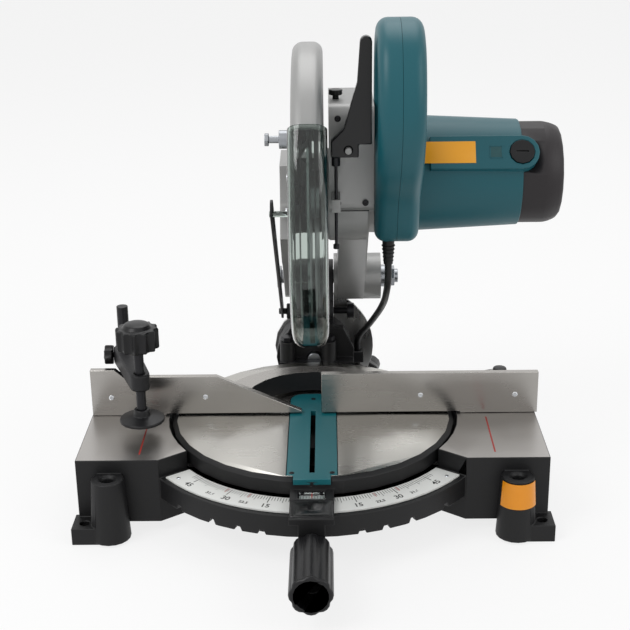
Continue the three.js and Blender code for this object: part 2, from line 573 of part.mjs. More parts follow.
function thumbLever() {
  const top = NECK.top + GAP;
  const plate = prism('z', roundedRect([-THUMB.half, THUMB.half], [-THUMB.front, -THUMB.rear],
    THUMB.tail / 2),
    NECK.top - THUMB.thick, top, [], THUMB.thick / 6);
  const dish = turned('z', [0, -middle(THUMB.front, THUMB.rear)],
    [[0, top - THUMB.dishDeep], [THUMB.dish / 2, top - THUMB.dishDeep],
    [THUMB.dish, top + OVERRUN / 4], [0, top + OVERRUN / 4]], SIDES.small);
  return cut(plate, dish);
}

function flutedOutline(radius, deep, count, centre) {
  const steps = count * 4;
  return Array.from({ length: steps }, (_, i) => {
    const turn = (i / steps) * 360;
    return polar(centre, radius - deep * (0.5 - 0.5 * Math.cos(radians(turn * count))) ** 2, turn);
  });
}

function mitreGrip() {
  const at = [0, GRIP.axis];
  const body = prism('y', flutedOutline(GRIP.radius, GRIP.fluteDeep, GRIP.flutes, at), -GRIP.front,
    -GRIP.rear - GRIP.flute, [],
    GRIP.fluteDeep);
  const collar = turned('y', at,
    [[0, -GRIP.rear - GRIP.flute - OVERRUN],
    [GRIP.radius - GRIP.fluteDeep * 2, -GRIP.rear - GRIP.flute - OVERRUN],
    [GRIP.collar, -GRIP.rear], [0, -GRIP.rear]]);
  const recess = turned('y', at, [[0, -GRIP.front - OVERRUN], [GRIP.recess, -GRIP.front - OVERRUN],
    [GRIP.recess - GRIP.fluteDeep, -GRIP.front + GRIP.recessDeep], [0, -GRIP.front + GRIP.recessDeep]]);
  const bore = rod('y', at, LOCK_ROD.radius + GAP, -GRIP.rear - GRIP.flute * 2, -GRIP.rear + OVERRUN,
    SIDES.small);
  return cut(join(body, collar), recess, bore);
}

const lockRod = () => rod('y', [0, GRIP.axis], LOCK_ROD.radius, -GRIP.rear - GRIP.flute * 2 + GAP,
  -LOCK_ROD.tip, SIDES.small);

// Vise
const viseMiddle = middle(VISE.armFoot, VISE.armTop);

const viseRod = () => rod('z', [-SOCKET.offset, SOCKET.depth], VISE.rod, TABLE_TOP + FENCE.relief,
  VISE.rodTop, SIDES.small);

const viseRodScrew = () => thumbScrew('y', SOCKET.depth + SOCKET.radius + GAP,
  [-SOCKET.offset, thumbHeight()],
  SOCKET.depth + VISE.rod + GAP);

function viseArmScrew() {
  const knob = prism('x', scallopedDisc(VISE.thumb, VISE.thumb / 4, 8, [SOCKET.depth, viseMiddle]),
    -SOCKET.offset - VISE.armEye - GAP - VISE.thumbThick, -SOCKET.offset - VISE.armEye - GAP, [], 1);
  return join(knob, rod('x', [SOCKET.depth, viseMiddle], VISE.thumbScrew,
    -SOCKET.offset - VISE.armEye - OVERRUN,
    -SOCKET.offset - VISE.rod - GAP, SIDES.small));
}

function viseArm() {
  const post = [-SOCKET.offset, SOCKET.depth];
  const nose = [VISE.spindleX, VISE.spindleY];
  const arm = prism('z', strap(post, VISE.armEye, nose, VISE.nose), VISE.armFoot, VISE.armTop, [], 1);
  const bores = [rod('z', post, VISE.rod + GAP, VISE.armFoot - OVERRUN, VISE.armTop + OVERRUN, SIDES.small),
    rod('z', nose, VISE.screw + GAP, VISE.armFoot - OVERRUN, VISE.armTop + OVERRUN, SIDES.small)];
  const clamp = rod('x', [SOCKET.depth, viseMiddle], VISE.thumbScrew + GAP,
    -SOCKET.offset - VISE.armEye - OVERRUN, -SOCKET.offset, SIDES.small);
  return cut(arm, ...bores, clamp);
}

function viseScrew() {
  const at = [VISE.spindleX, VISE.spindleY];
  const ball = VISE.padFoot + VISE.padThick + GAP;
  return turned('z', at, [[0, ball], [VISE.screw - 1, ball], [VISE.screw, ball + 1],
    [VISE.screw, VISE.knobFoot + OVERRUN * 2],
    [0, VISE.knobFoot + OVERRUN * 2]], SIDES.small);
}

function viseKnob() {
  const at = [VISE.spindleX, VISE.spindleY];
  const skirt = VISE.knobFoot - VISE.scallop;
  const rimTop = VISE.knobRim;
  const wheel = prism('z', scallopedDisc(VISE.knob, VISE.scallop, VISE.scallops, at), VISE.knobFoot, rimTop,
    [], 1);
  const cap = turned('z', at,
    [[0, rimTop - OVERRUN], [VISE.knob * 0.75, rimTop - OVERRUN], [VISE.knob * 0.55, VISE.knobTop - 1],
    [VISE.knob * 0.3, VISE.knobTop], [0, VISE.knobTop]]);
  const collar = rod('z', at, VISE.nose, skirt, VISE.knobFoot + OVERRUN);
  const seat = rod('z', at, VISE.screw + GAP, skirt - OVERRUN, VISE.knobFoot + OVERRUN * 2 + GAP,
    SIDES.small);
  return cut(join(wheel, cap, collar), seat);
}

function visePad() {
  const at = [VISE.spindleX, VISE.spindleY];
  const top = VISE.padFoot + VISE.padThick;
  const disc = turned('z', at,
    [[0, VISE.padFoot], [VISE.padRadius, VISE.padFoot], [VISE.padRadius, VISE.padFoot + VISE.padThick / 2],
    [VISE.cup, top], [0, top]]);
  const cup = turned('z', at,
    [[VISE.screw + GAP, top - OVERRUN], [VISE.cup, top - OVERRUN], [VISE.cup - 1, top + VISE.cupHeight],
    [VISE.screw + GAP, top + VISE.cupHeight]], SIDES.small);
  return join(disc, cup);
}

// Tilting arm behind the turntable's bracket, with the head's pivot at its top
const armFront = BRACKET.rear + GAP;
const armRear = BRACKET.rear + GAP + ARM.depth;
const linkFoot = [ARM.linkY, ARM.linkZ];

function bevelArm() {
  const eye = rod('y', [0, TABLE_TOP], ARM.eye, armFront, armRear);
  const waist = [ARM.waistY, ARM.waistZ];
  const upright = prism('x', strap(pivot, ARM.pivotEye, waist, ARM.waist), ARM.left, ARM.right);
  const floor = slab([ARM.left - OVERRUN, ARM.right + OVERRUN], [0, armFront], [0, TABLE_TOP + ARM.clear]);
  const nose = prism('x', strap(linkFoot, ARM.linkBoss, [ARM.waistY, ARM.linkZ], ARM.linkBoss * 2),
    ARM.left, ARM.right);
  const lug = rod('x', linkFoot, ARM.linkBoss, ARM.linkLeft + ARM.linkBoss, ARM.left + OVERRUN,
    SIDES.small);
  const pin = rod('x', linkFoot, ARM.linkPin, ARM.linkLeft, ARM.left, SIDES.small);
  const clip = slab([ARM.eye - ARM.linkBoss, ARM.clipSide], [ARM.clipFront, ARM.clipFront + CORD.clipLong],
    [ARM.clipFoot, ARM.clipFoot + CORD.clipLong]);
  const body = join(cut(join(upright, nose), floor), eye, lug, pin, clip);
  const bolt = rod('y', [0, TABLE_TOP], ARM.boltRadius + GAP, armFront - OVERRUN, armRear + OVERRUN,
    SIDES.small);
  const shaft = rod('x', pivot, PIVOT.shaft + GAP, ARM.left - OVERRUN, ARM.right + OVERRUN, SIDES.small);
  const lead = rod('z', [clipX, ARM.clipFront + CORD.clipLong / 2], CORD.radius + GAP,
    ARM.clipFoot - OVERRUN,
    ARM.clipFoot + CORD.clipLong + OVERRUN, SIDES.small);
  const stopper = rod('x', [STOPPER.y, STOPPER.z], STOPPER.radius + GAP, ARM.left - OVERRUN * 2,
    ARM.right + OVERRUN, SIDES.small);
  return cut(body, bolt, shaft, lead, stopper);
}

const clipX = ARM.clipSide - CORD.radius * 2;
const bevelScaleFront = armRear + GAP;
const bevelLeverFront = bevelScaleFront + BEVEL_SCALE.thick + BEVEL_LEVER.gap;

function bevelScale() {
  const rear = bevelScaleFront + BEVEL_SCALE.thick;
  const outline = ringSector([0, TABLE_TOP], BEVEL_SCALE.inner, BEVEL_SCALE.outer, BEVEL_SCALE.from,
    BEVEL_SCALE.to, 14);
  const web = rod('y', [0, TABLE_TOP], BEVEL_SCALE.inner + 1, bevelScaleFront, rear);
  const bore = rod('y', [0, TABLE_TOP], ARM.boltRadius + GAP, bevelScaleFront - OVERRUN, rear + OVERRUN,
    SIDES.small);
  const upright = slab([ARM.left - GAP, ARM.right + GAP], [bevelScaleFront - OVERRUN, rear + OVERRUN],
    [TABLE_TOP + BEVEL_SCALE.room, TABLE_TOP + BEVEL_SCALE.outer + OVERRUN]);
  return cut(join(web, prism('y', outline, bevelScaleFront, rear)), bore, upright);
}

const bevelBolt = () =>
  rod('y', [0, TABLE_TOP], ARM.boltRadius, BRACKET.boltFront + GAP,
    bevelLeverFront + BEVEL_LEVER.thick + OVERRUN, SIDES.small);

function bevelLockLever() {
  const at = [0, TABLE_TOP];
  const end = polar(at, BEVEL_LEVER.length, BEVEL_LEVER.angle);
  const rear = bevelLeverFront + BEVEL_LEVER.thick;
  const bar = prism('y', strap(at, BEVEL_LEVER.hub, end, BEVEL_LEVER.arm), bevelLeverFront, rear, [], 1);
  const knob = turned('y', end,
    [[0, rear - OVERRUN], [BEVEL_LEVER.arm - 1, rear - OVERRUN],
    [BEVEL_LEVER.knob, rear + BEVEL_LEVER.knob],
    [BEVEL_LEVER.knob * 0.7, rear + BEVEL_LEVER.knob * 2], [0, rear + BEVEL_LEVER.knob * 2]], SIDES.small);
  const bore = rod('y', at, ARM.boltRadius + GAP, bevelLeverFront - OVERRUN, rear + OVERRUN, SIDES.small);
  return cut(join(bar, knob), bore);
}

function stopBolt(x) {
  const at = [x, BRACKET.front + BRACKET.postRadius];
  const head = BRACKET.postTop + STOP_BOLT.gap;
  return join(prism('z', arc(at, STOP_BOLT.head, 0, 360, 6).slice(0, -1), head, head + STOP_BOLT.headThick),
    rod('z', at, STOP_BOLT.radius, BRACKET.postTop - STOP_BOLT.length, head + OVERRUN, SIDES.small));
}

function pivotShaft() {
  return join(prism('x', arc(pivot, PIVOT.washer, 0, 360, 6).slice(0, -1), PIVOT.left,
    PIVOT.left + PIVOT.head),
    rod('x', pivot, PIVOT.shaft, PIVOT.left + 1, PIVOT.right, SIDES.small));
}

function pivotNut() {
  const nut = prism('x', arc(pivot, PIVOT.nut * 1.15, 0, 360, 6).slice(0, -1), PIVOT.nutFrom, PIVOT.nutTo);
  const washer = rod('x', pivot, PIVOT.washer, PIVOT.nutFrom - PIVOT.washerThick, PIVOT.nutFrom + 1);
  return cut(join(nut, washer),
    rod('x', pivot, PIVOT.shaft + GAP, PIVOT.nutFrom - PIVOT.shaft, PIVOT.nutTo + OVERRUN, SIDES.small));
}

function returnSpring() {
  const { turns, wire, radius } = SPRING;
  const from = ARM.right + wire + GAP;
  const reach = HOUSING.springRight - from - wire - GAP;
  const steps = turns * SPRING.stepsPerTurn;
  const points = Array.from({ length: steps + 1 }, (_, i) => [from + (reach * i) / steps,
    ...polar(pivot, radius, (i / steps) * turns * 360)]);
  return tube(points, wire, steps, 6);
}

// The pin that locks the head down: it slides through a lug of the arm
function stopperPin() {
  const at = [STOPPER.y, STOPPER.z];
  const knobFrom = ARM.right + STOPPER.reach;
  return join(rod('x', at, STOPPER.radius, ARM.left - OVERRUN, knobFrom + 1, SIDES.small),
    rod('x', at, STOPPER.knob, knobFrom, knobFrom + STOPPER.knobThick, SIDES.small));
}

// Saw head: case, guard, blade and drive
function bladeCase() {
  const { outer, wall, left, right, frontAngle, rearAngle } = CASE;
  const rim = prism('x', ringSector(arbor, outer - wall, outer, rearAngle, frontAngle, 16), left, right);
  const side = (x) => join(prism('x', [arbor, ...arc(arbor, outer - 1, rearAngle, frontAngle, 16)], x,
    x + wall),
    rod('x', arbor, CASE.hubRadius, x, x + wall));
  const ring = rod('x', arbor, CASE.ring, CASE.ringLeft, left + 1);
  const bridge = prism('x', ringSector(arbor, EAR.bridgeInner, outer - 1, EAR.bridgeFrom, EAR.bridgeTo, 6),
    EAR.left, left + wall);
  const ear = prism('x', strap(polar(arbor, EAR.rootReach, EAR.rootAngle), EAR.root, pivot, EAR.radius),
    EAR.left, EAR.right);
  const body = join(rim, side(left), side(right - wall), ring, bridge, ear);
  const access = rod('x', arbor, CASE.window, CASE.ringLeft - OVERRUN, left + wall + OVERRUN);
  const spindleHole = rod('x', arbor, SPINDLE.flange + 1, right - wall - OVERRUN, right + OVERRUN);
  const shaft = rod('x', pivot, PIVOT.shaft + GAP, EAR.left - OVERRUN, EAR.right + OVERRUN, SIDES.small);
  const dust = rod('y', [middle(left, right), NOZZLE.z], NOZZLE.radius - NOZZLE.wall * 2,
    ARBOR.y + outer / 2, ARBOR.y + outer + OVERRUN,
    SIDES.small);
  const slot = common(dust,
    slab([left + wall + 1, right - wall - 1], [ARBOR.y, ARBOR.y + outer * 2],
    [ARBOR.z - outer, ARBOR.z + outer]));
  return cut(body, access, spindleHole, shaft, slot);
}

function lowerGuard() {
  const { inner, outer, half, wall, from, to, hub, rightInner } = GUARD;
  const rim = prism('x', ringSector(arbor, inner, outer, from, to, 16), -half, half);
  const left = join(prism('x', [arbor, ...arc(arbor, outer - 1, from, to, 16)], -half, wall - half),
    rod('x', arbor, hub, -half, wall - half),
    prism('x', strap(arbor, hub - OVERRUN, polar(arbor, GUARD.lobeReach, GUARD.lobeAngle), GUARD.lobe),
      -half, wall - half));
  const right = prism('x', ringSector(arbor, rightInner, outer - 1, from, to, 16), half - wall, half);
  const pin = rod('x', polar(arbor, GUARD.crank, GUARD.crankAngle), GUARD.crankPin, GUARD.crankLeft,
    1 - half, SIDES.small);
  const hole = rod('x', arbor, CASE.ring + 1, -half - OVERRUN, wall - half + OVERRUN);
  return cut(join(rim, left, right, pin), hole);
}

function guardBoss() {
  const at = polar(arbor, GUARD.lobeReach, GUARD.lobeAngle);
  return join(rod('x', at, GUARD_BOSS.radius, GUARD_BOSS.left, -GUARD.half - GAP, SIDES.small),
    rod('x', at, GUARD_BOSS.bolt, GUARD_BOSS.headLeft + 1, GUARD_BOSS.left + 1, SIDES.small),
    prism('x', arc(at, GUARD_BOSS.head, 0, 360, 6).slice(0, -1), GUARD_BOSS.headLeft, GUARD_BOSS.boltLeft));
}

// A flat bar pinned to the arm, whose slot drives the guard's crank pin
function guardLink() {
  const crank = polar(arbor, GUARD.crank, GUARD.crankAngle);
  const length = Math.hypot(crank[0] - linkFoot[0], crank[1] - linkFoot[1]);
  const along = [(crank[0] - linkFoot[0]) / length, (crank[1] - linkFoot[1]) / length];
  const at = (distance) => [linkFoot[0] + along[0] * distance, linkFoot[1] + along[1] * distance];
  const bar = prism('x', strap(linkFoot, LINK.half, at(LINK.slotTo), LINK.half + OVERRUN), LINK.left,
    LINK.right);
  const slot = prism('x', strap(at(LINK.slotFrom), LINK.slotHalf, at(LINK.slotTo), LINK.slotHalf - WELD),
    LINK.left - OVERRUN,
    LINK.right + OVERRUN);
  return cut(bar, slot, rod('x', linkFoot, ARM.linkPin + GAP, LINK.left - OVERRUN, LINK.right + OVERRUN,
    SIDES.small));
}

function sawBlade() {
  const pitch = 360 / BLADE.teeth;
  const root = BLADE.radius - BLADE.toothDepth;
  const outline = Array.from({ length: BLADE.teeth }, (_, i) => [polar(arbor, BLADE.radius, i * pitch),
    polar(arbor, BLADE.radius - BLADE.toothDepth / 5, (i + 0.45) * pitch),
    polar(arbor, root, (i + 0.8) * pitch)]).flat();
  return prism('x', outline, -BLADE.thick / 2, BLADE.thick / 2,
    [arc(arbor, BLADE.bore, 0, 360, 18).slice(0, -1)]);
}

const bladeLeft = -BLADE.thick / 2 - GAP;
const bladeRight = BLADE.thick / 2 + GAP;

function outerFlange() {
  return turned('x', arbor,
    [[FLANGE.bore + GAP, bladeLeft], [FLANGE.radius - 1, bladeLeft],
    [FLANGE.radius - 1, bladeLeft - OVERRUN],
    [FLANGE.radius - FLANGE.thick, bladeLeft - FLANGE.thick],
    [FLANGE.bore + GAP, bladeLeft - FLANGE.thick]]);
}

function arborBolt() {
  const seat = bladeLeft - FLANGE.thick - GAP;
  return join(prism('x', arc(arbor, ARBOR_BOLT.head + OVERRUN, 0, 360, 6).slice(0, -1),
    seat - ARBOR_BOLT.headThick, seat),
    rod('x', arbor, ARBOR_BOLT.shank, seat - 1, SPINDLE.left + ARBOR_BOLT.length, SIDES.small));
}

function spindle() {
  const shoulder = bladeRight;
  const profile = [[0, SPINDLE.left], [SPINDLE.radius - OVERRUN / 4, SPINDLE.left],
    [SPINDLE.radius - OVERRUN / 4, bladeLeft + GAP],
    [SPINDLE.seat, bladeLeft + GAP], [SPINDLE.seat, shoulder], [SPINDLE.flange, shoulder],
    [SPINDLE.flange, shoulder + SPINDLE.flangeThick],
    [SPINDLE.collar, shoulder + SPINDLE.flangeThick + OVERRUN],
    [SPINDLE.radius, HOUSING.left - OVERRUN * 2], [SPINDLE.radius, SPINDLE.right],
    [0, SPINDLE.right]];
  return cut(turned('x', arbor, profile), rod('x', arbor, ARBOR_BOLT.shank + GAP, SPINDLE.left - OVERRUN,
    SPINDLE.left + ARBOR_BOLT.length + GAP, SIDES.small));
}

// Involute teeth about a centre, the first one centred on the given angle
function gearOutline(centre, teeth, addendum, startAngle) {
  const pitchRadius = (GEARS.module * teeth) / 2;
  const base = pitchRadius * Math.cos(radians(GEARS.pressure));
  const tip = pitchRadius + GEARS.module * addendum;
  const root = pitchRadius - GEARS.module * GEARS.dedendum;
  const roll = (r) => Math.sqrt(Math.max((r / base) ** 2 - 1, 0));
  const swing = (r) => roll(r) - Math.atan(roll(r));
  const halfAtPitch = Math.PI / (2 * teeth) - GEARS.backlash / (2 * pitchRadius);
  const halfAt = (r) => halfAtPitch + swing(pitchRadius) - swing(r);
  const low = Math.max(base, root);
  const flank = teeth > GEARS.pinionTeeth ? [low, tip] : [low, middle(low, tip), tip];
  const degrees = (angle) => (angle * 180) / Math.PI;
  return Array.from({ length: teeth }, (_, i) => {
    const mid = startAngle + (i * 360) / teeth;
    const rising = flank.map((r) => polar(centre, r, mid - degrees(halfAt(r))));
    const falling = flank.slice().reverse().map((r) => polar(centre, r, mid + degrees(halfAt(r))));
    const feet = root < low ? [polar(centre, root, mid - degrees(halfAt(low))),
      polar(centre, root, mid + degrees(halfAt(low)))] : [];
    return feet.length ? [feet[0], ...rising, ...falling, feet[1]] : [...rising, ...falling];
  }).flat();
}

function spindleGear() {
  const outline = gearOutline(arbor, GEARS.gearTeeth, GEARS.gearAddendum, GEARS.lineAngle);
  return prism('x', outline, GEARS.left, GEARS.right,
    [arc(arbor, SPINDLE.radius + GAP, 0, 360, SIDES.small).slice(0, -1)]);
}

function rotorShaft() {
  const gapAngle = GEARS.lineAngle + 180 + 180 / GEARS.pinionTeeth;
  const pinion = prism('x', gearOutline(motorAxis, GEARS.pinionTeeth, GEARS.pinionAddendum, gapAngle),
    GEARS.left - 1, GEARS.right + 1);
  const bar = turned('x', motorAxis,
    [[0, ROTOR.left], [ROTOR.neck, ROTOR.left], [ROTOR.neck, GEARS.right + 1 + OVERRUN],
    [ROTOR.shaft, GEARS.right + 1 + OVERRUN * 2], [ROTOR.shaft, ROTOR.right], [0, ROTOR.right]],
      SIDES.small);
  return join(bar, pinion);
}

function rotorCore() {
  const bore = ROTOR.shaft + GAP;
  return turned('x', motorAxis,
    [[bore, ROTOR.coreFrom - 8], [ROTOR.commutator, ROTOR.coreFrom - 8],
    [ROTOR.core - OVERRUN, ROTOR.coreFrom],
    [ROTOR.core, ROTOR.coreFrom], [ROTOR.core, ROTOR.coreTo], [ROTOR.core - OVERRUN, ROTOR.coreTo],
    [ROTOR.commutator + 1, ROTOR.commFrom - OVERRUN],
    [ROTOR.commutator, ROTOR.commFrom], [ROTOR.commutator, ROTOR.commTo], [bore, ROTOR.commTo]],
      SIDES.small);
}

function fan() {
  const { fan: radius, fanFrom, fanTo, fanHub, blades, bladeThick } = ROTOR;
  const disc = rod('x', motorAxis, radius, fanFrom, fanFrom + bladeThick);
  const hub = rod('x', motorAxis, fanHub, fanFrom, fanTo, SIDES.small);
  const vane = slab([fanFrom + 1, fanTo], [fanHub - OVERRUN, radius - 1],
    [-bladeThick / 2, bladeThick / 2]);
  const vanes = Array.from({ length: blades }, (_, i) =>
    vane.clone().rotateX((i / blades) * Math.PI * 2).translate(0, motorAxis[0], motorAxis[1]));
  return cut(join(disc, hub, ...vanes),
    rod('x', motorAxis, ROTOR.shaft + GAP, fanFrom - OVERRUN, fanTo + OVERRUN, SIDES.small));
}

function stator() {
  const ring = rod('x', motorAxis, STATOR.outer, STATOR.from, STATOR.to);
  return cut(ring, rod('x', motorAxis, STATOR.inner, STATOR.from - OVERRUN, STATOR.to + OVERRUN));
}

function gearHousing() {
  const { left, right, front, rear, foot, top, corner } = HOUSING;
  const block = prism('x', roundedRect([front, rear], [foot, top], corner), left, right);
  const neck = rod('x', arbor, HOUSING.neck, HOUSING.neckLeft, left + 1);
  const gearCase = rod('x', arbor, HOUSING.gearRoom + corner, left, HOUSING.roomRight + OVERRUN * 2);
  const drum = rod('x', motorAxis, HOUSING.drum, HOUSING.drumLeft, HOUSING.drumRight);
  const arm = prism('x', strap([HOUSING.armY, HOUSING.armZ], HOUSING.armRoot, pivot, HOUSING.boss),
    HOUSING.armLeft, HOUSING.armRight);
  const boss = rod('x', pivot, HOUSING.boss, HOUSING.bossLeft, HOUSING.bossRight);
  const leverBoss = rod('y', [SAFETY.pivotX, SAFETY.pivotZ], SAFETY.boss,
    SAFETY.depth + SAFETY.thick / 2 + GAP, front + 1, SIDES.small);
  const leverPin = rod('y', [SAFETY.pivotX, SAFETY.pivotZ], SAFETY.pin, SAFETY.depth - SAFETY.thick, front,
    SIDES.small);
  const guide = slab([LEVER_ROD.x - LEVER_ROD.wall, LEVER_ROD.x + LEVER_ROD.wall],
    [SAFETY.depth - LEVER_ROD.wall, front + corner],
    [LEVER_ROD.guideFoot, LEVER_ROD.guideTop]);
  const guideBore = rod('z', [LEVER_ROD.x, SAFETY.depth], LEVER_ROD.radius + GAP,
    LEVER_ROD.guideFoot - OVERRUN,
    LEVER_ROD.guideTop + OVERRUN, SIDES.tube);
  const body = join(block, neck, gearCase, drum, arm, boss, leverBoss, leverPin, guide);
  const gearRoom = rod('x', arbor, HOUSING.gearRoom, HOUSING.bearingRight, HOUSING.roomRight, SIDES.small);
  const pinionRoom = rod('x', motorAxis, HOUSING.pinionRoom, HOUSING.bearingRight, HOUSING.roomRight,
    SIDES.tube);
  const shaftRoom = rod('x', motorAxis, ROTOR.shaft + GAP, HOUSING.roomRight - OVERRUN, HOUSING.drumRight,
    SIDES.small);
  const motorRoom = rod('x', motorAxis, HOUSING.motorRoom, HOUSING.motorRoomLeft,
    HOUSING.drumRight + OVERRUN);
  const flangeRoom = rod('x', arbor, SPINDLE.flange + 1, HOUSING.neckLeft - OVERRUN, left - OVERRUN);
  const spindleBore = rod('x', arbor, SPINDLE.radius + GAP, left - OVERRUN * 2, SPINDLE.right + GAP,
    SIDES.small);
  const springRoom = rod('x', pivot, HOUSING.spring, HOUSING.bossLeft - OVERRUN, HOUSING.springRight,
    SIDES.small);
  const shaft = rod('x', pivot, PIVOT.shaft + GAP, HOUSING.bossLeft - OVERRUN, HOUSING.bossRight + OVERRUN,
    SIDES.small);
  const buttonBore = rod('z', [SHAFT_LOCK.x, SHAFT_LOCK.depth], SHAFT_LOCK.stem + GAP,
    SHAFT_LOCK.foot - SHAFT_LOCK.travel - GAP,
    top + OVERRUN, SIDES.small);
  return cut(body, gearRoom, pinionRoom, shaftRoom, motorRoom, flangeRoom, spindleBore, springRoom, shaft,
    buttonBore, guideBore);
}

// The flat-topped ribs over the brushes, one each side of the motor, as a solid of the given growth
function brushRib(angle, grow, from) {
  const half = MOTOR.rib + grow;
  const outline = [[from, -half], ...arc([MOTOR.brushX, 0], half, -90, 90, 8), [from, half]];
  const rib = prism('z', outline, MOTOR.endRadius - MOTOR.ribProud - grow, MOTOR.ribTop + grow);
  return rib.rotateX(radians(angle - 90)).translate(0, motorAxis[0], motorAxis[1]);
}

const brushAngles = [MOTOR.ribAngle, MOTOR.ribAngle + 180];

function brushPlug(angle, radius, from, to) {
  const plug = rod('z', [MOTOR.brushX, 0], radius, from, to, SIDES.small);
  return plug.rotateX(radians(angle - 90)).translate(0, motorAxis[0], motorAxis[1]);
}

function motorHousing() {
  const { left, right, startRadius, endRadius, wall } = MOTOR;
  const shell = turned('x', motorAxis,
    [[startRadius - wall, left], [startRadius, left], [startRadius, left + wall * 2],
    [endRadius, right], [endRadius - wall, right], [startRadius - wall * 2, left + wall * 4]], SIDES.fine);
  const room = turned('x', motorAxis,
    [[0, left - OVERRUN], [startRadius - wall, left - OVERRUN], [startRadius - wall * 2, left + wall * 4],
    [endRadius - wall, right + OVERRUN], [0, right + OVERRUN]]);
  const ribs = brushAngles.map((angle) => cut(brushRib(angle, 0, left + MOTOR.rib), room));
  const pockets = brushAngles.map((angle) => brushPlug(angle, MOTOR.brushCap + GAP,
    MOTOR.ribTop - MOTOR.brushDeep - GAP,
    MOTOR.ribTop + OVERRUN));
  return cut(join(shell, ...ribs), ...pockets);
}

function motorEndCap() {
  const left = MOTOR.right + GAP;
  const right = MOTOR.right + MOTOR.capLength;
  const skin = [[MOTOR.capRadius, left], [MOTOR.capRadius, right - MOTOR.wall * 4],
    [MOTOR.capEndRadius, right - MOTOR.wall],
    [MOTOR.capEndRadius - MOTOR.wall, right]];
  const outside = turned('x', motorAxis, [[0, left], ...skin, [0, right + OVERRUN]]);
  const inside = turned('x', motorAxis,
    [[0, left - OVERRUN], [MOTOR.capRadius - MOTOR.wall, left - OVERRUN],
    [MOTOR.capEndRadius - MOTOR.wall, right - MOTOR.wall * 2], [0, right - MOTOR.wall]]);
  const bearing = rod('x', motorAxis, ROTOR.shaft * 2, ROTOR.right - ROTOR.shaft * 2,
    right - MOTOR.wall / 2, SIDES.small);
  const bore = rod('x', motorAxis, ROTOR.shaft + GAP, left, ROTOR.right + GAP, SIDES.small);
  return cut(join(cut(outside, inside), bearing), bore,
    ...brushAngles.map((angle) => brushRib(angle, GAP, MOTOR.left)));
}

const brushCap = (angle) => {
  const plug = brushPlug(angle, MOTOR.brushCap, MOTOR.ribTop - MOTOR.brushDeep, MOTOR.ribTop + 1);
  const slot = slab([-MOTOR.brushCap / 2, MOTOR.brushCap / 2], [-1, 1],
    [MOTOR.ribTop - 1, MOTOR.ribTop + OVERRUN])
    .translate(MOTOR.brushX, 0, 0).rotateX(radians(angle - 90)).translate(0, motorAxis[0], motorAxis[1]);
  return cut(plug, slot);
};

// D-handle: two halves about one seam, with a pocket for the trigger
const handlePoint = ([across, up]) => [HANDLE.rear + across * HANDLE.depth,
  HANDLE.foot + up * HANDLE.height];

function insetLoop(points, distance) {
  return points.map(([a, b], i) => {
    const before = points[(i + points.length - 1) % points.length];
    const after = points[(i + 1) % points.length];
    const run = [after[0] - before[0], after[1] - before[1]];
    const length = Math.hypot(...run);
    return [a - (run[1] / length) * distance, b + (run[0] / length) * distance];
  });
}

function handleBody() {
  const outline = smoothLoop(HANDLE_OUTLINE_SHARES.map(handlePoint), 28);
  const hole = smoothLoop(HANDLE_HOLE_SHARES.map(handlePoint), 16);
  const solid = prism('x', outline, HANDLE.left, HANDLE.right, [hole], HANDLE.round);
  const deep = HANDLE.wall + HANDLE.round / 2;
  const room = prism('x', insetLoop(outline, -deep), HANDLE.left + HANDLE.wall, HANDLE.right - HANDLE.wall,
    [insetLoop(hole, deep)]);
  const pocket = slab([HANDLE.seam - TRIGGER.width / 2 - GAP, HANDLE.seam + TRIGGER.width / 2 + GAP],
    [trigger.front - TRIGGER.travel - GAP, trigger.rear], [trigger.foot - GAP, trigger.top + GAP]);
  return cut(solid, room, pocket);
}

const trigger = (() => {
  const [y] = handlePoint(HANDLE_HOLE_SHARES[1]);
  const [, z] = handlePoint([0, TRIGGER.heightShare]);
  return { front: y - TRIGGER.thick / 2 - HANDLE.round, rear: y + TRIGGER.reach,
    foot: z - TRIGGER.height / 2, top: z + TRIGGER.height / 2 };
})();

function handleHalf(from, to) {
  const box = slab([from, to], [-TABLE_TOP * 3, TABLE_TOP],
    [HANDLE.foot - TABLE_TOP, HANDLE.foot + HANDLE.height + TABLE_TOP]);
  return common(handleBody(), box);
}

function triggerPiece() {
  const half = TRIGGER.width / 2;
  const outline = [[trigger.front, trigger.foot], [trigger.rear - TRIGGER.dish, trigger.foot],
    [trigger.rear, trigger.foot + TRIGGER.dish],
    [trigger.rear - TRIGGER.dish, middle(trigger.foot, trigger.top)],
    [trigger.rear - TRIGGER.dish / 2, trigger.top], [trigger.front, trigger.top]];
  return prism('x', outline, HANDLE.seam - half, HANDLE.seam + half, [], 1);
}

function safetyLever() {
  const { tipX, tipZ, tip, heelX, heelZ, foot, kneeX, right, step, thick, depth } = SAFETY;
  const outline = [...arc([tipX, tipZ - tip], tip, 0, 180, 8), [kneeX, middle(tipZ, heelZ) + step],
    [heelX + step, heelZ + step * 2],
    [heelX, heelZ + step], [heelX, foot], [right - step, foot], [right - step, foot + step],
    [right, foot + step], [right, tipZ - step * 3]];
  const plate = prism('y', outline, depth - thick / 2, depth + thick / 2);
  return cut(plate, rod('y', [SAFETY.pivotX, SAFETY.pivotZ], SAFETY.pin + GAP, depth - thick, depth + thick,
    SIDES.small));
}

function leverRod() {
  const at = [LEVER_ROD.x, SAFETY.depth];
  const top = SAFETY.foot - GAP;
  const knuckle = rod('z', at, LEVER_ROD.knuckle, top - LEVER_ROD.knuckle * 2, top, SIDES.small);
  const eye = rod('z', at, LEVER_ROD.knuckle - 1, LEVER_ROD.foot, LEVER_ROD.foot + LEVER_ROD.knuckle,
    SIDES.small);
  return join(knuckle, rod('z', at, LEVER_ROD.radius, LEVER_ROD.foot + 1, top - 1, SIDES.tube), eye);
}

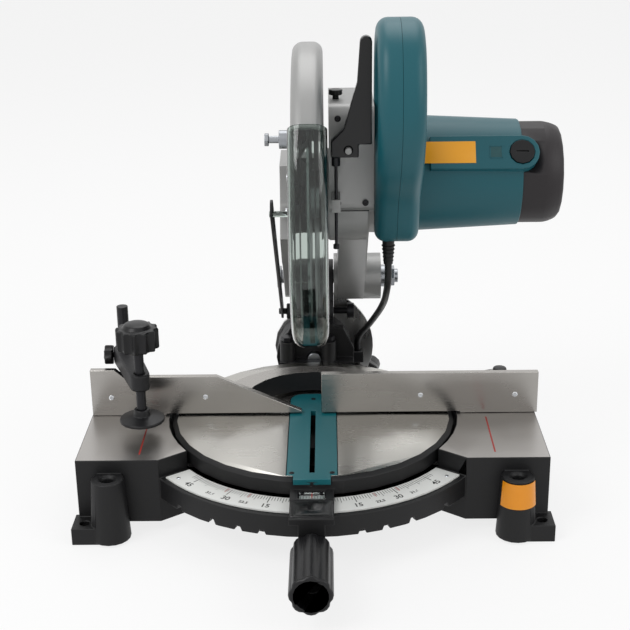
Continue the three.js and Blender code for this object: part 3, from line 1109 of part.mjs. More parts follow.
function shaftLock() {
  const at = [SHAFT_LOCK.x, SHAFT_LOCK.depth];
  const capFoot = HOUSING.top + SHAFT_LOCK.travel + GAP;
  return join(rod('z', at, SHAFT_LOCK.cap, capFoot, capFoot + SHAFT_LOCK.capThick, SIDES.small),
    rod('z', at, SHAFT_LOCK.stem, SHAFT_LOCK.foot, capFoot + 1, SIDES.small));
}

function dustNozzle() {
  const at = [middle(CASE.left, CASE.right), NOZZLE.z];
  const from = ARBOR.y + CASE.outer - NOZZLE.radius;
  const to = ARBOR.y + CASE.outer + NOZZLE.length;
  const pipe = rod('y', at, NOZZLE.radius - NOZZLE.wall, from, to);
  const bore = rod('y', at, NOZZLE.radius - NOZZLE.wall * 2, from - OVERRUN, to + OVERRUN);
  return cut(pipe, bore, rod('x', arbor, CASE.outer + 1, -NOZZLE.radius * 2, NOZZLE.radius * 2,
    SIDES.fine));
}

function centreCover() {
  return rod('x', arbor, COVER.radius, COVER.left, COVER.right);
}

// Mains lead: route points chosen by hand, in order from the handle to the floor
const gland = { top: HANDLE.foot - HANDLE.wall + GAP, foot: HANDLE.foot - HANDLE.wall - CORD.glandLong };
const cordTop = [76, -46];
const clipY = ARM.clipFront + CORD.clipLong / 2;
const clipTop = ARM.clipFoot + CORD.clipLong;

function cordGland() {
  return turned('z', cordTop,
    [[0, gland.foot], [CORD.radius + 1, gland.foot], [CORD.gland - 1, gland.top], [0, gland.top]],
    SIDES.small);
}

function cordHead() {
  return tube([[76, -46, gland.foot - GAP], [76, -46, gland.foot - 16], [75, -26, 223], [73.5, 30, 190.5],
    [69, 86, 158.5], [62.5, 134, 129],
    [clipX + 2.5, clipY - 14, 104], [clipX + 0.3, clipY - 0.8, 92], [clipX, clipY, clipTop + OVERRUN],
    [clipX, clipY, ARM.clipFoot - 8]],
  CORD.radius, 22, CORD.sides);
}

function cordTail() {
  const end = COIL.x - CORD.radius * 2 - GAP;
  return tube([[clipX, clipY, ARM.clipFoot - 8 - GAP], [clipX, clipY, 50], [57, 194, 33], [68, 214, 19],
    [84, 230, 8], [104, 236.3, 4.2],
    [end - CORD.radius * 3, COIL.y + COIL.radius, coilFloor], [end, COIL.y + COIL.radius, coilFloor]],
      CORD.radius, 18, CORD.sides);
}

// The put-away lead: spirals in on the bench, climbs half a turn, spirals out again on top
const coilFloor = CORD.radius + GAP / 3;

function coilPoint(turn) {
  const { turns, radius, pitch, lift } = COIL;
  const inward = Math.min(turn, turns);
  const climb = Math.min(Math.max(turn - turns, 0), 0.5) * 2;
  const outward = Math.max(turn - turns - 0.5, 0);
  const [x, y] = polar([COIL.x, COIL.y], radius - (inward - outward) * pitch, 90 - turn * 360);
  return [x, y, coilFloor + climb * lift];
}

function coilPoints() {
  const total = COIL.turns * 2 + 0.5;
  const count = Math.round(total * COIL.steps);
  const loops = Array.from({ length: count + 1 }, (_, i) => coilPoint((i / count) * total));
  const lead = CORD.radius * 2;
  const last = loops[count];
  return [[loops[0][0] - lead, loops[0][1], loops[0][2]], ...loops,
    [last[0] + COIL.outlet, last[1], last[2]]];
}

function cordCoil() {
  const points = coilPoints();
  const near = COIL.steps / 2;
  let least = Infinity;
  points.forEach((a, i) => points.slice(i + near).forEach((b) => {
    least = Math.min(least, Math.hypot(a[0] - b[0], a[1] - b[1], a[2] - b[2]) - CORD.radius * 2);
  }));
  console.log(`least gap in the coiled lead: ${least.toFixed(2)} mm`);
  return tube(points, CORD.radius, points.length - 1, COIL.sides);
}

function plug() {
  const y = COIL.y + COIL.radius;
  const from = COIL.x + COIL.outlet + GAP;
  const z = PLUG.thick / 2;
  const sleeve = turned('x', [y, coilFloor + COIL.lift],
    [[0, from], [CORD.radius + 1, from], [PLUG.sleeveRadius, from + PLUG.sleeve],
    [PLUG.sleeveRadius, from + PLUG.sleeve + OVERRUN], [0, from + PLUG.sleeve + OVERRUN]], SIDES.small);
  const left = from + PLUG.sleeve;
  const right = left + PLUG.length;
  const half = PLUG.width / 2;
  const waist = half * 0.6;
  const body = prism('z', [[left, y - waist], [left + PLUG.length / 2, y - half], [right, y - half],
    [right, y + half],
    [left + PLUG.length / 2, y + half], [left, y + waist]], 0, PLUG.thick, [], PLUG.round / 2);
  const pins = [-1, 1].map((side) => rod('x', [y + (side * PLUG.pinSpread) / 2, z], PLUG.pin, right - 1,
    right + PLUG.pinLength, SIDES.tube));
  return join(body, sleeve, ...pins);
}

add('blade_case', bladeCase(), 'cast');
add('lower_guard', lowerGuard(), 'smoke');
add('guard_boss', guardBoss(), 'steel');
add('guard_link', guardLink(), 'dark');
add('centre_cover', centreCover(), 'dark');
add('saw_blade', sawBlade(), 'steel');
add('outer_flange', outerFlange(), 'dark');
add('arbor_bolt', arborBolt(), 'dark');
add('spindle', spindle(), 'steel');
add('spindle_gear', spindleGear(), 'steel');
add('gear_housing', gearHousing(), 'cast');
add('rotor_shaft', rotorShaft(), 'steel');
add('rotor_core', rotorCore(), 'copper');
add('cooling_fan', fan(), 'black');
add('stator', stator(), 'dark');
add('motor_housing', motorHousing(), 'teal');
add('motor_end_cap', motorEndCap(), 'black');
add('brush_cap_front', brushCap(brushAngles[0]), 'black');
add('brush_cap_rear', brushCap(brushAngles[1]), 'black');
add('handle_left', handleHalf(HANDLE.left - 1, HANDLE.seam - GAP / 2), 'teal');
add('handle_right', handleHalf(HANDLE.seam + GAP / 2, HANDLE.right + 1), 'teal');
add('trigger', triggerPiece(), 'black');
add('safety_lever', safetyLever(), 'black');
add('lever_rod', leverRod(), 'dark');
add('shaft_lock', shaftLock(), 'black');
add('dust_nozzle', dustNozzle(), 'rubber');
add('cord_gland', cordGland(), 'rubber');
add('cord_head', cordHead(), 'rubber');
add('cord_tail', cordTail(), 'rubber');
add('base_casting', baseCasting(), 'coating');
add('mitre_scale', mitreScale(), 'white');
add('guide_fence', guideFence(), 'machined');
add('turntable', turntable(), 'machined');
add('centre_bolt', centreBolt(), 'steel');
add('kerf_board', kerfBoard(), 'teal');
add('pointer_lens', pointerLens(), 'clear');
add('thumb_lever', thumbLever(), 'black');
add('mitre_grip', mitreGrip(), 'black');
add('lock_rod', lockRod(), 'steel');
add('vise_rod', viseRod(), 'steel');
add('vise_rod_screw', viseRodScrew(), 'dark');
add('vise_arm', viseArm(), 'coating');
add('vise_arm_screw', viseArmScrew(), 'dark');
add('vise_screw', viseScrew(), 'dark');
add('vise_knob', viseKnob(), 'black');
add('vise_pad', visePad(), 'dark');
add('bevel_arm', bevelArm(), 'coating');
add('bevel_scale', bevelScale(), 'machined');
add('bevel_bolt', bevelBolt(), 'steel');
add('bevel_lock_lever', bevelLockLever(), 'black');
add('bevel_stop_left', stopBolt(BRACKET.stopLeft), 'dark');
add('bevel_stop_right', stopBolt(BRACKET.stopRight), 'dark');
add('pivot_shaft', pivotShaft(), 'steel');
add('pivot_nut', pivotNut(), 'steel');
add('return_spring', returnSpring(), 'dark');
add('stopper_pin', stopperPin(), 'dark');
add('cord_coil', cordCoil(), 'rubber');
add('plug', plug(), 'rubber');

export default saw;
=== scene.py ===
import json
import math

import bpy
from mathutils import Matrix, Vector


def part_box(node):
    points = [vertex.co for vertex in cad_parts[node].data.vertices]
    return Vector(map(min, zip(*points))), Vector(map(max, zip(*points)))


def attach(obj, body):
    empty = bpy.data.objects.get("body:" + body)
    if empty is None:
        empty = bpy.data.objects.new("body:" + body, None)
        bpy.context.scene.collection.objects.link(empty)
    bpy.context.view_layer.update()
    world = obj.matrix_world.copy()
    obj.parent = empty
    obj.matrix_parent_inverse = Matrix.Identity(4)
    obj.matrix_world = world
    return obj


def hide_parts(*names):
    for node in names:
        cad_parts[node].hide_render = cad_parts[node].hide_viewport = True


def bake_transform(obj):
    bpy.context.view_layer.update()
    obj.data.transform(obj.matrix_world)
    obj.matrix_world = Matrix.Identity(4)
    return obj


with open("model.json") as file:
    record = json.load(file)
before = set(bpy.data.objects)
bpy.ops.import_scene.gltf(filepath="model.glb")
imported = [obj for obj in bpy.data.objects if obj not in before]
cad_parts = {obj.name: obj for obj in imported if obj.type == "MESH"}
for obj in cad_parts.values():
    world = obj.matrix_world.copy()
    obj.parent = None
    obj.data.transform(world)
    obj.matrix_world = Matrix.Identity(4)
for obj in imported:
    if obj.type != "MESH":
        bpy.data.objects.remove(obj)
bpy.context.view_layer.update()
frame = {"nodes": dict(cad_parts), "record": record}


# Camera: a long lens at eye height in front of the bench, tipped down onto the table.
# Its place and turn were fitted to the table, the wings, the fence and the motor.
CAMERA_PLACE = (0.0185, -1.2586, 0.6628)
CAMERA_DEGREES = (69.486, 0.730, 0.414)
CAMERA_LENS = 74.76
bpy.ops.object.camera_add(location=CAMERA_PLACE, rotation=[math.radians(turn) for turn in CAMERA_DEGREES])
camera = bpy.context.object
camera.name = "camera"
camera.data.lens = CAMERA_LENS
bpy.context.scene.camera = camera


# Mains lead: black rubber flex from the handle to a clip on the arm, down behind the table,
# and the rest wound into a coil on the bench behind the saw, where the base hides it.
CORD_RADIUS = 0.0035
ROUTE_STEPS = 8
COIL = {"x": 0.146, "y": 0.186, "floor": 0.0036, "turns": 2.25, "radius": 0.0505, "pitch": 0.0086,
        "lift": 0.0079, "steps": 24, "run_in": 0.007, "run_out": 0.035}


def colour(text):
    """An sRGB colour written as six hex digits, as the linear values that a shader takes."""
    parts = [int(text[i : i + 2], 16) / 255 for i in (0, 2, 4)]
    return [p / 12.92 if p <= 0.04045 else ((p + 0.055) / 1.055) ** 2.4 for p in parts] + [1.0]


def add_node(tree, kind, inputs=None, **settings):
    """Adds one shader node; an input is a value, or the output socket to link to it."""
    made = tree.nodes.new(kind)
    for name, value in settings.items():
        setattr(made, name, value)
    for name, value in (inputs or {}).items():
        if isinstance(value, bpy.types.NodeSocket):
            tree.links.new(value, made.inputs[name])
        else:
            made.inputs[name].default_value = value
    return made


def finish_of(name, base, roughness, metallic=0.0, **more):
    """A new material with these values on its shader's own sockets."""
    made = bpy.data.materials.new(name)
    made.use_nodes = True
    shader = made.node_tree.nodes["Principled BSDF"]
    shader.inputs["Base Color"].default_value = colour(base)
    shader.inputs["Roughness"].default_value = roughness
    shader.inputs["Metallic"].default_value = metallic
    for key, value in more.items():
        shader.inputs[key.replace("_", " ")].default_value = value
    return made


def grain(material, size_mm, depth_mm):
    """Fine relief of a real grain size and depth on a material."""
    tree = material.node_tree
    place = add_node(tree, "ShaderNodeTexCoord")
    texture = add_node(tree, "ShaderNodeTexNoise", {"Vector": place.outputs["Object"],
                                                    "Scale": 1000 / size_mm})
    bump = add_node(tree, "ShaderNodeBump", {"Height": texture.outputs[0], "Distance": depth_mm / 1000,
                                             "Strength": 1.0})
    tree.links.new(bump.outputs["Normal"], tree.nodes["Principled BSDF"].inputs["Normal"])
    return material


def smooth_route(points, steps=ROUTE_STEPS):
    """Points in metres along a smooth curve through given points in millimetres."""
    knots = [Vector(p) / 1000 for p in points]
    ends = [knots[0] * 2 - knots[1], *knots, knots[-1] * 2 - knots[-2]]
    made = []
    for a, b, c, d in zip(ends, ends[1:], ends[2:], ends[3:]):
        t1 = (b - a).length ** 0.5
        t2 = t1 + (c - b).length ** 0.5
        t3 = t2 + (d - c).length ** 0.5
        for k in range(steps):
            t = t1 + (t2 - t1) * k / steps
            first = a.lerp(b, t / t1)
            second = b.lerp(c, (t - t1) / (t2 - t1))
            third = c.lerp(d, (t - t2) / (t3 - t2))
            before = first.lerp(second, t / t2)
            after = second.lerp(third, (t - t1) / (t3 - t1))
            made.append(before.lerp(after, (t - t1) / (t2 - t1)))
    made.append(knots[-1])
    return made


def flex(name, points, material, nodes):
    """A round flex along these points, as a mesh with closed ends, that stands for CAD nodes."""
    data = bpy.data.curves.new(name, "CURVE")
    data.dimensions = "3D"
    data.bevel_depth = CORD_RADIUS
    data.bevel_resolution = 4
    data.use_fill_caps = True
    line = data.splines.new("POLY")
    line.points.add(len(points) - 1)
    for spot, at in zip(line.points, points):
        spot.co = (*at, 1)
    curve = bpy.data.objects.new(name, data)
    bpy.context.collection.objects.link(curve)
    bpy.ops.object.select_all(action="DESELECT")
    curve.select_set(True)
    bpy.context.view_layer.objects.active = curve
    bpy.ops.object.convert(target="MESH")
    made = bpy.context.object
    made.data.materials.clear()
    made.data.materials.append(material)
    bpy.ops.object.shade_smooth_by_angle(angle=math.radians(50))
    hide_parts(*nodes)
    return made


# Black flex: satin rubber that shows as one thin soft highlight along the lead
flex_rubber = grain(finish_of("black flex rubber", "131313", 0.42, Specular_IOR_Level=0.3), 0.6, 0.02)

head_route = smooth_route(
    [[76, -46, 261.7], [76, -46, 246], [75, -26, 223], [73.5, 30, 190.5], [69, 86, 158.5], [62.5, 134, 129],
     [53.5, 167, 104], [51.3, 180.2, 92], [51, 181, 82], [51, 181, 58]])
lead_head = flex("lead_head", head_route, flex_rubber, ["cord_head"])
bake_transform(lead_head)

tail_route = smooth_route(
    [[51, 181, 57.7], [51, 181, 50], [57, 194, 33], [68, 214, 19], [84, 230, 8], [104, 236.3, 4.2],
     [128.2, 236.5, 3.6], [138.7, 236.5, 3.6]])
lead_tail = flex("lead_tail", tail_route, flex_rubber, ["cord_tail"])
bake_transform(lead_tail)


def coil_route():
    """Two flat layers: in along the bench, up half a turn, and out again on top, in metres."""
    turns = COIL["turns"]
    total = turns * 2 + 0.5
    count = round(total * COIL["steps"])
    made = []
    for i in range(count + 1):
        turn = total * i / count
        inward = min(turn, turns)
        outward = max(turn - turns - 0.5, 0)
        climb = min(max(turn - turns, 0), 0.5) * 2
        reach = COIL["radius"] - (inward - outward) * COIL["pitch"]
        angle = math.radians(90 - turn * 360)
        made.append(Vector((COIL["x"] + reach * math.cos(angle), COIL["y"] + reach * math.sin(angle),
                            COIL["floor"] + climb * COIL["lift"])))
    start = made[0] - Vector((COIL["run_in"], 0, 0))
    end = made[-1] + Vector((COIL["run_out"], 0, 0))
    return [start, *made, end]


coil = coil_route()
lead_coil = flex("lead_coil", coil, flex_rubber, ["cord_coil"])
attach(lead_coil, "base")


# Base: one black crackle-coated casting with two box wings, a curved apron and four feet.
# The tops of the wings are milled bright; a red line on each marks where hands stay clear.
WELD = 0.00002
FLAT_DEGREES = 0.5
TABLE_TOP = 0.08
UPWARD = 0.95
owners = {node: body for body, nodes in frame["record"]["behaviour"]["bodies"].items() for node in nodes}
slots = {part["node"]: part["material_slot"] for part in frame["record"]["subparts"]}


def pick_only(obj):
    """Leaves this piece alone selected and active."""
    bpy.ops.object.select_all(action="DESELECT")
    obj.select_set(True)
    bpy.context.view_layer.objects.active = obj


def clean(obj, sharp):
    """Smooth shading up to this angle."""
    pick_only(obj)
    bpy.ops.object.shade_smooth_by_angle(angle=math.radians(sharp))


def apply_modifier(obj, kind, **settings):
    """Adds one modifier, sets it and applies it."""
    pick_only(obj)
    added = obj.modifiers.new("step", kind)
    for name, value in settings.items():
        setattr(added, name, value)
    bpy.ops.object.modifier_apply(modifier=added.name)


def soften(obj, edge_mm, segments=2, sharp=35, held=False):
    """Rounds the sharp edges by a real width; held stops it where short edges would cross."""
    apply_modifier(obj, "BEVEL", width=edge_mm / 1000, segments=segments, limit_method="ANGLE",
                   angle_limit=math.radians(sharp), use_clamp_overlap=held, loop_slide=False)
    clean(obj, sharp)


def round_some(obj, edge_mm, segments, share_of):
    """Rounds the edges that share_of picks, each by its own share of a real width."""
    shares = obj.data.attributes.new("bevel_weight_edge", "FLOAT", "EDGE")
    for edge in obj.data.edges:
        first, second = (obj.data.vertices[v].co * 1000 for v in edge.vertices)
        shares.data[edge.index].value = share_of(first, second)
    apply_modifier(obj, "BEVEL", width=edge_mm / 1000, segments=segments, limit_method="WEIGHT",
                   use_clamp_overlap=False, loop_slide=False)
    obj.data.attributes.remove(obj.data.attributes["bevel_weight_edge"])


def dress(obj, *finishes, where=None):
    """Gives a piece its finishes; where picks one for each face by its middle and its normal."""
    obj.data.materials.clear()
    for finish in finishes:
        obj.data.materials.append(finish)
    if where:
        for face in obj.data.polygons:
            face.material_index = where(face.center, face.normal)


def put_on(obj, body, slot_name, *nodes):
    """The piece moves with a body and stands for CAD nodes; slot_name is not used."""
    if nodes:
        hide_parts(*nodes)
    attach(obj, body)
    return obj


def copy_of(node, edge_mm=0.0, segments=2, sharp=35):
    """A merged copy of a CAD node with rounded edges, standing for that node."""
    source = frame["nodes"][node]
    made = bpy.data.objects.new(f"{node}_look", source.data.copy())
    bpy.context.collection.objects.link(made)
    pick_only(made)
    bpy.ops.object.mode_set(mode="EDIT")
    bpy.ops.mesh.select_all(action="SELECT")
    bpy.ops.mesh.remove_doubles(threshold=WELD)
    bpy.ops.mesh.dissolve_limited(angle_limit=math.radians(FLAT_DEGREES))
    bpy.ops.object.mode_set(mode="OBJECT")
    clean(made, sharp)
    if edge_mm:
        soften(made, edge_mm, segments, sharp)
    return put_on(made, owners[node], slots[node], node)


def box_piece(name, low_corner, high_corner, edge_mm=0.0):
    """A box between two corners in millimetres, with its edges rounded."""
    middle = [(a + b) / 2000 for a, b in zip(low_corner, high_corner)]
    size = [(b - a) / 1000 for a, b in zip(low_corner, high_corner)]
    bpy.ops.mesh.primitive_cube_add(size=1, location=middle, scale=size)
    made = bpy.context.object
    made.name = name
    pick_only(made)
    bpy.ops.object.transform_apply(location=True, rotation=True, scale=True)
    if edge_mm:
        soften(made, edge_mm)
    return made


def joined(name, pieces):
    """Several meshes as one piece."""
    bpy.ops.object.select_all(action="DESELECT")
    for piece in pieces:
        piece.select_set(True)
    bpy.context.view_layer.objects.active = pieces[0]
    bpy.ops.object.join()
    made = bpy.context.object
    made.name = name
    return made


def milled(name, base, roughness, stretch):
    """Bare metal with the faint parallel streaks of a cutter, and a patchy sheen."""
    streak_mm, patch_mm, streak_share = 3.85, 71.4, 0.3
    dark_noise, bright_noise = 0.45, 0.85
    smoother, rougher = 0.06, 0.1
    made = finish_of(name, base, roughness, 1.0)
    tree = made.node_tree
    place = add_node(tree, "ShaderNodeTexCoord").outputs["Object"]
    turned = add_node(tree, "ShaderNodeMapping", {"Vector": place, "Scale": stretch})
    streaks = add_node(tree, "ShaderNodeTexNoise", {"Vector": turned.outputs[0], "Scale": 1000 / streak_mm})
    patches = add_node(tree, "ShaderNodeTexNoise", {"Vector": place, "Scale": 1000 / patch_mm})
    both = add_node(tree, "ShaderNodeMath", {0: streaks.outputs[0], 1: streak_share, 2: patches.outputs[0]},
                    operation="MULTIPLY_ADD")
    sheen = add_node(tree, "ShaderNodeMapRange", {
        "Value": both.outputs[0], "From Min": dark_noise, "From Max": bright_noise,
        "To Min": roughness - smoother, "To Max": roughness + rougher})
    tree.links.new(sheen.outputs["Result"], tree.nodes["Principled BSDF"].inputs["Roughness"])
    return made


def milled_top(centre, normal):
    """1 for a face that the mill has cut at the table's height, and 0 for any other."""
    return int(normal.z > UPWARD and centre.z > TABLE_TOP - 0.0005)


# Crackle coat: black paint with a fine relief, so highlights break up and stay dull
crackle = grain(finish_of("black crackle coat", "141415", 0.5, Specular_IOR_Level=0.3), 1.1, 0.09)
# Milled wing tops: grey metal with lines along the fence
milled_grey = milled("milled aluminium", "aba8a5", 0.34, (0.04, 1, 1))
base_piece = copy_of("base_casting", 0.8)
dress(base_piece, crackle, milled_grey, where=milled_top)

# Red print: flat signal red of the warning lines
red_print = finish_of("red print", "a8322a", 0.5)
LINE_WIDTH, LINE_FRONT, LINE_FOOT, LINE_TOP = 1.6, -92, 79.9, 80.15
hand_lines = joined("wing_lines", [
    box_piece("line", (x - LINE_WIDTH / 2, LINE_FRONT, LINE_FOOT), (x + LINE_WIDTH / 2, rear, LINE_TOP))
    for x, rear in ((-172, -26), (181, -10))
])
dress(hand_lines, red_print)
put_on(hand_lines, "base", "coating")

# Plain orange label: a band of glossy film round the front of the right rod holder, on the base
BAND = {"place": (0.201, -0.116, 0.051), "height": 0.026, "foot": 0.0184, "top": 0.01675,
        "rear": -0.1225, "film": 0.0003}
bpy.ops.mesh.primitive_cone_add(vertices=48, radius1=BAND["foot"], radius2=BAND["top"], depth=BAND["height"],
                                end_fill_type="NOTHING", location=BAND["place"])
label_band = bpy.context.object
label_band.name = "holder_label"
bpy.ops.object.transform_apply(location=True, rotation=True, scale=True)
bpy.ops.object.mode_set(mode="EDIT")
bpy.ops.mesh.select_all(action="DESELECT")
bpy.ops.object.mode_set(mode="OBJECT")
for face in label_band.data.polygons:
    face.select = face.center.y > BAND["rear"]
bpy.ops.object.mode_set(mode="EDIT")
bpy.ops.mesh.delete(type="FACE")
bpy.ops.object.mode_set(mode="OBJECT")
apply_modifier(label_band, "SOLIDIFY", thickness=BAND["film"], offset=1)
clean(label_band, 40)
label_orange = finish_of("orange label film", "e8920f", 0.3)
dress(label_band, label_orange)
put_on(label_band, "base", "coating")


# Mitre scale: a white-painted arc plate on the apron with black degree lines and numbers.
# The lines start at the inner edge; numbers stand outside them, plain as on any such scale.
SCALE = {"top": 61.9, "start": 153.2, "short": 159.6, "long": 162.5, "red": 161, "main": 164.5,
         "thin": 0.45, "red_width": 0.7, "thick": 0.8, "under": 0.05, "proud": 0.08, "numbers": 170.8,
         "rivets": 171, "rivet_degrees": 50.5, "last": 48}
scale_piece = copy_of("mitre_scale")
# White enamel: bright, smooth and slightly warm
white_enamel = finish_of("white enamel", "e4e5e2", 0.32)
dress(scale_piece, white_enamel)
# Scale ink: black print
scale_ink = finish_of("black scale ink", "171717", 0.5)


def turned_round(obj, angle):
    """Turns a piece's mesh about the turntable's axis."""
    obj.data.transform(Matrix.Rotation(math.radians(angle), 4, "Z"))
    return obj


def degree_line(angle, end, width):
    """A thin printed line on the scale, from its inner edge out to a radius."""
    line = box_piece("degree", (-width / 2, -end, SCALE["top"] - SCALE["under"]),
                     (width / 2, -SCALE["start"], SCALE["top"] + SCALE["proud"]))
    return turned_round(line, angle)


black_lines = []
for degree in range(-SCALE["last"], SCALE["last"] + 1):
    black_lines.append(degree_line(degree, SCALE["long" if degree % 5 == 0 else "short"], SCALE["thin"]))
for degree in (-45, -30, -15, 15, 30, 45):
    black_lines.append(degree_line(degree, SCALE["main"], SCALE["thick"]))
red_lines = []
for degree in (-31.6, -22.5, 22.5, 31.6):
    red_lines.append(degree_line(degree, SCALE["red"], SCALE["red_width"]))
scale_lines = joined("scale_lines", black_lines)
dress(scale_lines, scale_ink)
put_on(scale_lines, "base", "white")
scale_red = joined("scale_red_lines", red_lines)
dress(scale_red, red_print)
put_on(scale_red, "base", "white")


EM_PER_DIGIT = 1.38
INK = 0.00006


def printed(name, words, height_mm, place, finish, body, slot_name, bold=0.0):
    """Flat printed characters as a thin mesh; place is the matrix that puts them down."""
    data = bpy.data.curves.new(name, "FONT")
    data.body = words
    data.size = height_mm / 1000 * EM_PER_DIGIT
    data.align_x = "CENTER"
    data.align_y = "CENTER"
    data.extrude = INK
    data.offset = bold / 1000
    made = bpy.data.objects.new(name, data)
    bpy.context.collection.objects.link(made)
    pick_only(made)
    bpy.ops.object.convert(target="MESH")
    made = bpy.context.object
    made.data.transform(place)
    dress(made, finish)
    return put_on(made, body, slot_name)


LARGE, SMALL, BOLD = 6.6, 4.0, 0.16
SCALE_NUMBERS = ((15, LARGE, 0), (22.5, SMALL, 0), (30, LARGE, -1.0), (31.6, SMALL, 3.6), (45, LARGE, 0))
for number, height, aside in SCALE_NUMBERS:
    for side, side_name in ((-1, "left"), (1, "right")):
        spin = Matrix.Rotation(math.radians((number + aside) * side), 4, "Z")
        place = spin @ Matrix.Translation((0, -SCALE["numbers"] / 1000, SCALE["top"] / 1000))
        piece_name = f"scale_number_{number}_{side_name}".replace(".", "_")
        printed(piece_name, f"{number:g}", height, place, scale_ink, "base", "white", BOLD)
SCREW = {"round": 0.5, "round_share": 0.3, "reach_share": 0.62, "half_share": 0.14, "floor_share": 0.45}


def screw(name, at_mm, facing, radius, height, finish, body, slot_name, cross=True):
    """A low round screw head with a cross recess, facing one way."""
    bpy.ops.mesh.primitive_cylinder_add(vertices=24, radius=radius / 1000, depth=height / 1000,
                                        location=(0, 0, height / 2000))
    made = bpy.context.object
    made.name = name
    pick_only(made)
    bpy.ops.object.transform_apply(location=True, rotation=True, scale=True)
    soften(made, min(SCREW["round"], height * SCREW["round_share"]))
    if cross:
        for turn in (0, 90):
            reach, half = radius * SCREW["reach_share"], radius * SCREW["half_share"]
            recess = box_piece("recess", (-reach, -half, height * SCREW["floor_share"]),
                               (reach, half, height + 1))
            recess.data.transform(Matrix.Rotation(math.radians(turn), 4, "Z"))
            apply_modifier(made, "BOOLEAN", operation="DIFFERENCE", object=recess)
            bpy.data.objects.remove(recess)
    turn_to = Vector((0, 0, 1)).rotation_difference(Vector(facing)).to_matrix().to_4x4()
    made.data.transform(Matrix.Translation(Vector(at_mm) / 1000) @ turn_to)
    dress(made, finish)
    return put_on(made, body, slot_name)


# Bright zinc: small light screws that stand out from grey metal
zinc = finish_of("bright zinc", "dfe2e6", 0.22, 1.0)
# Black oxide: dark screws with a faint sheen
black_oxide = finish_of("black oxide steel", "232326", 0.38, 0.6)
for side, side_name in ((-1, "left"), (1, "right")):
    angle = math.radians(SCALE["rivet_degrees"] * side)
    spot = (math.sin(angle) * SCALE["rivets"], -math.cos(angle) * SCALE["rivets"], SCALE["top"])
    screw(f"scale_rivet_{side_name}", spot, (0, 0, 1), 1.9, 0.9, zinc, "base", "steel", False)


# Guide fence: one aluminium casting, milled on its face and top, painted dark behind.
# Four bright screws hold it; a black cap closes the right-hand rod socket.
FENCE = {"face": 0.004, "facing": 0.9, "screws": (-212, -113, 113, 212), "screw_y": 1.2, "screw_z": 101}
SOCKET = {"place": (0.198, 0.021, 0.120), "radius": 0.0072, "height": 0.006}
fence_piece = copy_of("guide_fence", 0.5)
# Milled fence: brighter than the wings, with fine level lines
milled_fence = milled("milled fence face", "a7a4a0", 0.27, (0.03, 1, 1))
# Dark casting paint: the rough back of the fence
dark_cast = grain(finish_of("dark casting paint", "19191b", 0.5, Specular_IOR_Level=0.3), 1.6, 0.08)


def milled_side(centre, normal):
    """1 for the fence's front faces and its level tops, and 0 for its rough back."""
    return int(normal.y < -FENCE["facing"] and centre.y < FENCE["face"] or normal.z > FENCE["facing"])


dress(fence_piece, dark_cast, milled_fence, where=milled_side)
for number, x in enumerate(FENCE["screws"]):
    screw(f"fence_screw_{number}", (x, FENCE["screw_y"], FENCE["screw_z"]), (0, -1, 0), 2.9, 2.0, zinc,
          "base", "steel")
bpy.ops.mesh.primitive_cylinder_add(vertices=32, radius=SOCKET["radius"], depth=SOCKET["height"],
                                    location=SOCKET["place"])
socket_cap = bpy.context.object
socket_cap.name = "socket_cap"
bpy.ops.object.transform_apply(location=True, rotation=True, scale=True)
soften(socket_cap, 1.6, 3)
# Moulded black: smooth dark plastic of knobs and caps
black_plastic = grain(finish_of("black moulded plastic", "101012", 0.34, Specular_IOR_Level=0.3), 0.9, 0.015)
dress(socket_cap, black_plastic)
put_on(socket_cap, "base", "black")


# Turntable: a milled aluminium disc with a black rim, a black neck to the front and a
# bracket for the tilting arm behind; it turns on a bolt in the base.
DISC = {"bare": 0.1428, "rear": 0.147}
table_piece = copy_of("turntable", 0.5)
# Milled disc: bright where it is bare, black coat outside a circle near the rim
milled_disc = milled("milled turntable", "b5b3ae", 0.25, (0.03, 1, 1))
disc_tree = milled_disc.node_tree
disc_shader = disc_tree.nodes["Principled BSDF"]
disc_place = add_node(disc_tree, "ShaderNodeTexCoord")
disc_flat = add_node(disc_tree, "ShaderNodeVectorMath", {0: disc_place.outputs["Object"], 1: (1, 1, 0)},
                     operation="MULTIPLY")
disc_reach = add_node(disc_tree, "ShaderNodeVectorMath", {0: disc_flat.outputs["Vector"]}, operation="LENGTH")
disc_edge = add_node(disc_tree, "ShaderNodeMath", {0: disc_reach.outputs["Value"], 1: DISC["bare"]},
                     operation="GREATER_THAN")
disc_colour = add_node(disc_tree, "ShaderNodeMix", {"Factor": disc_edge.outputs[0]}, data_type="RGBA")
disc_colour.inputs[6].default_value = colour("b5b3ae")
disc_colour.inputs[7].default_value = colour("1c1c1e")
disc_metal = add_node(disc_tree, "ShaderNodeMath", {0: 1.0, 1: disc_edge.outputs[0]}, operation="SUBTRACT")
disc_tree.links.new(disc_colour.outputs[2], disc_shader.inputs["Base Color"])
disc_tree.links.new(disc_metal.outputs[0], disc_shader.inputs["Metallic"])


def disc_top(centre, normal):
    """1 for the milled top of the disc, and 0 for its sides and the bracket behind it."""
    return int(milled_top(centre, normal) and centre.y < DISC["rear"])


dress(table_piece, crackle, milled_disc, where=disc_top)


# Kerf board: a teal plastic insert that lies in the turntable along the cut. The blade passes
# through its slot, and three dark screws hold it.
KERF_SCREWS = ((-19.5, -134), (19.5, -134), (0, 39))
KERF_SCREW_Z = 79.7
kerf_piece = copy_of("kerf_board", 0.5)
# Teal plastic: satin, with one soft highlight along each edge
teal_smooth = grain(finish_of("teal moulded plastic", "10626a", 0.36), 0.8, 0.01)
dress(kerf_piece, teal_smooth)
for number, (x, y) in enumerate(KERF_SCREWS):
    screw(f"kerf_screw_{number}", (x, y, KERF_SCREW_Z), (0, 0, 1), 2.5, 0.8, black_oxide, "turntable", "dark")


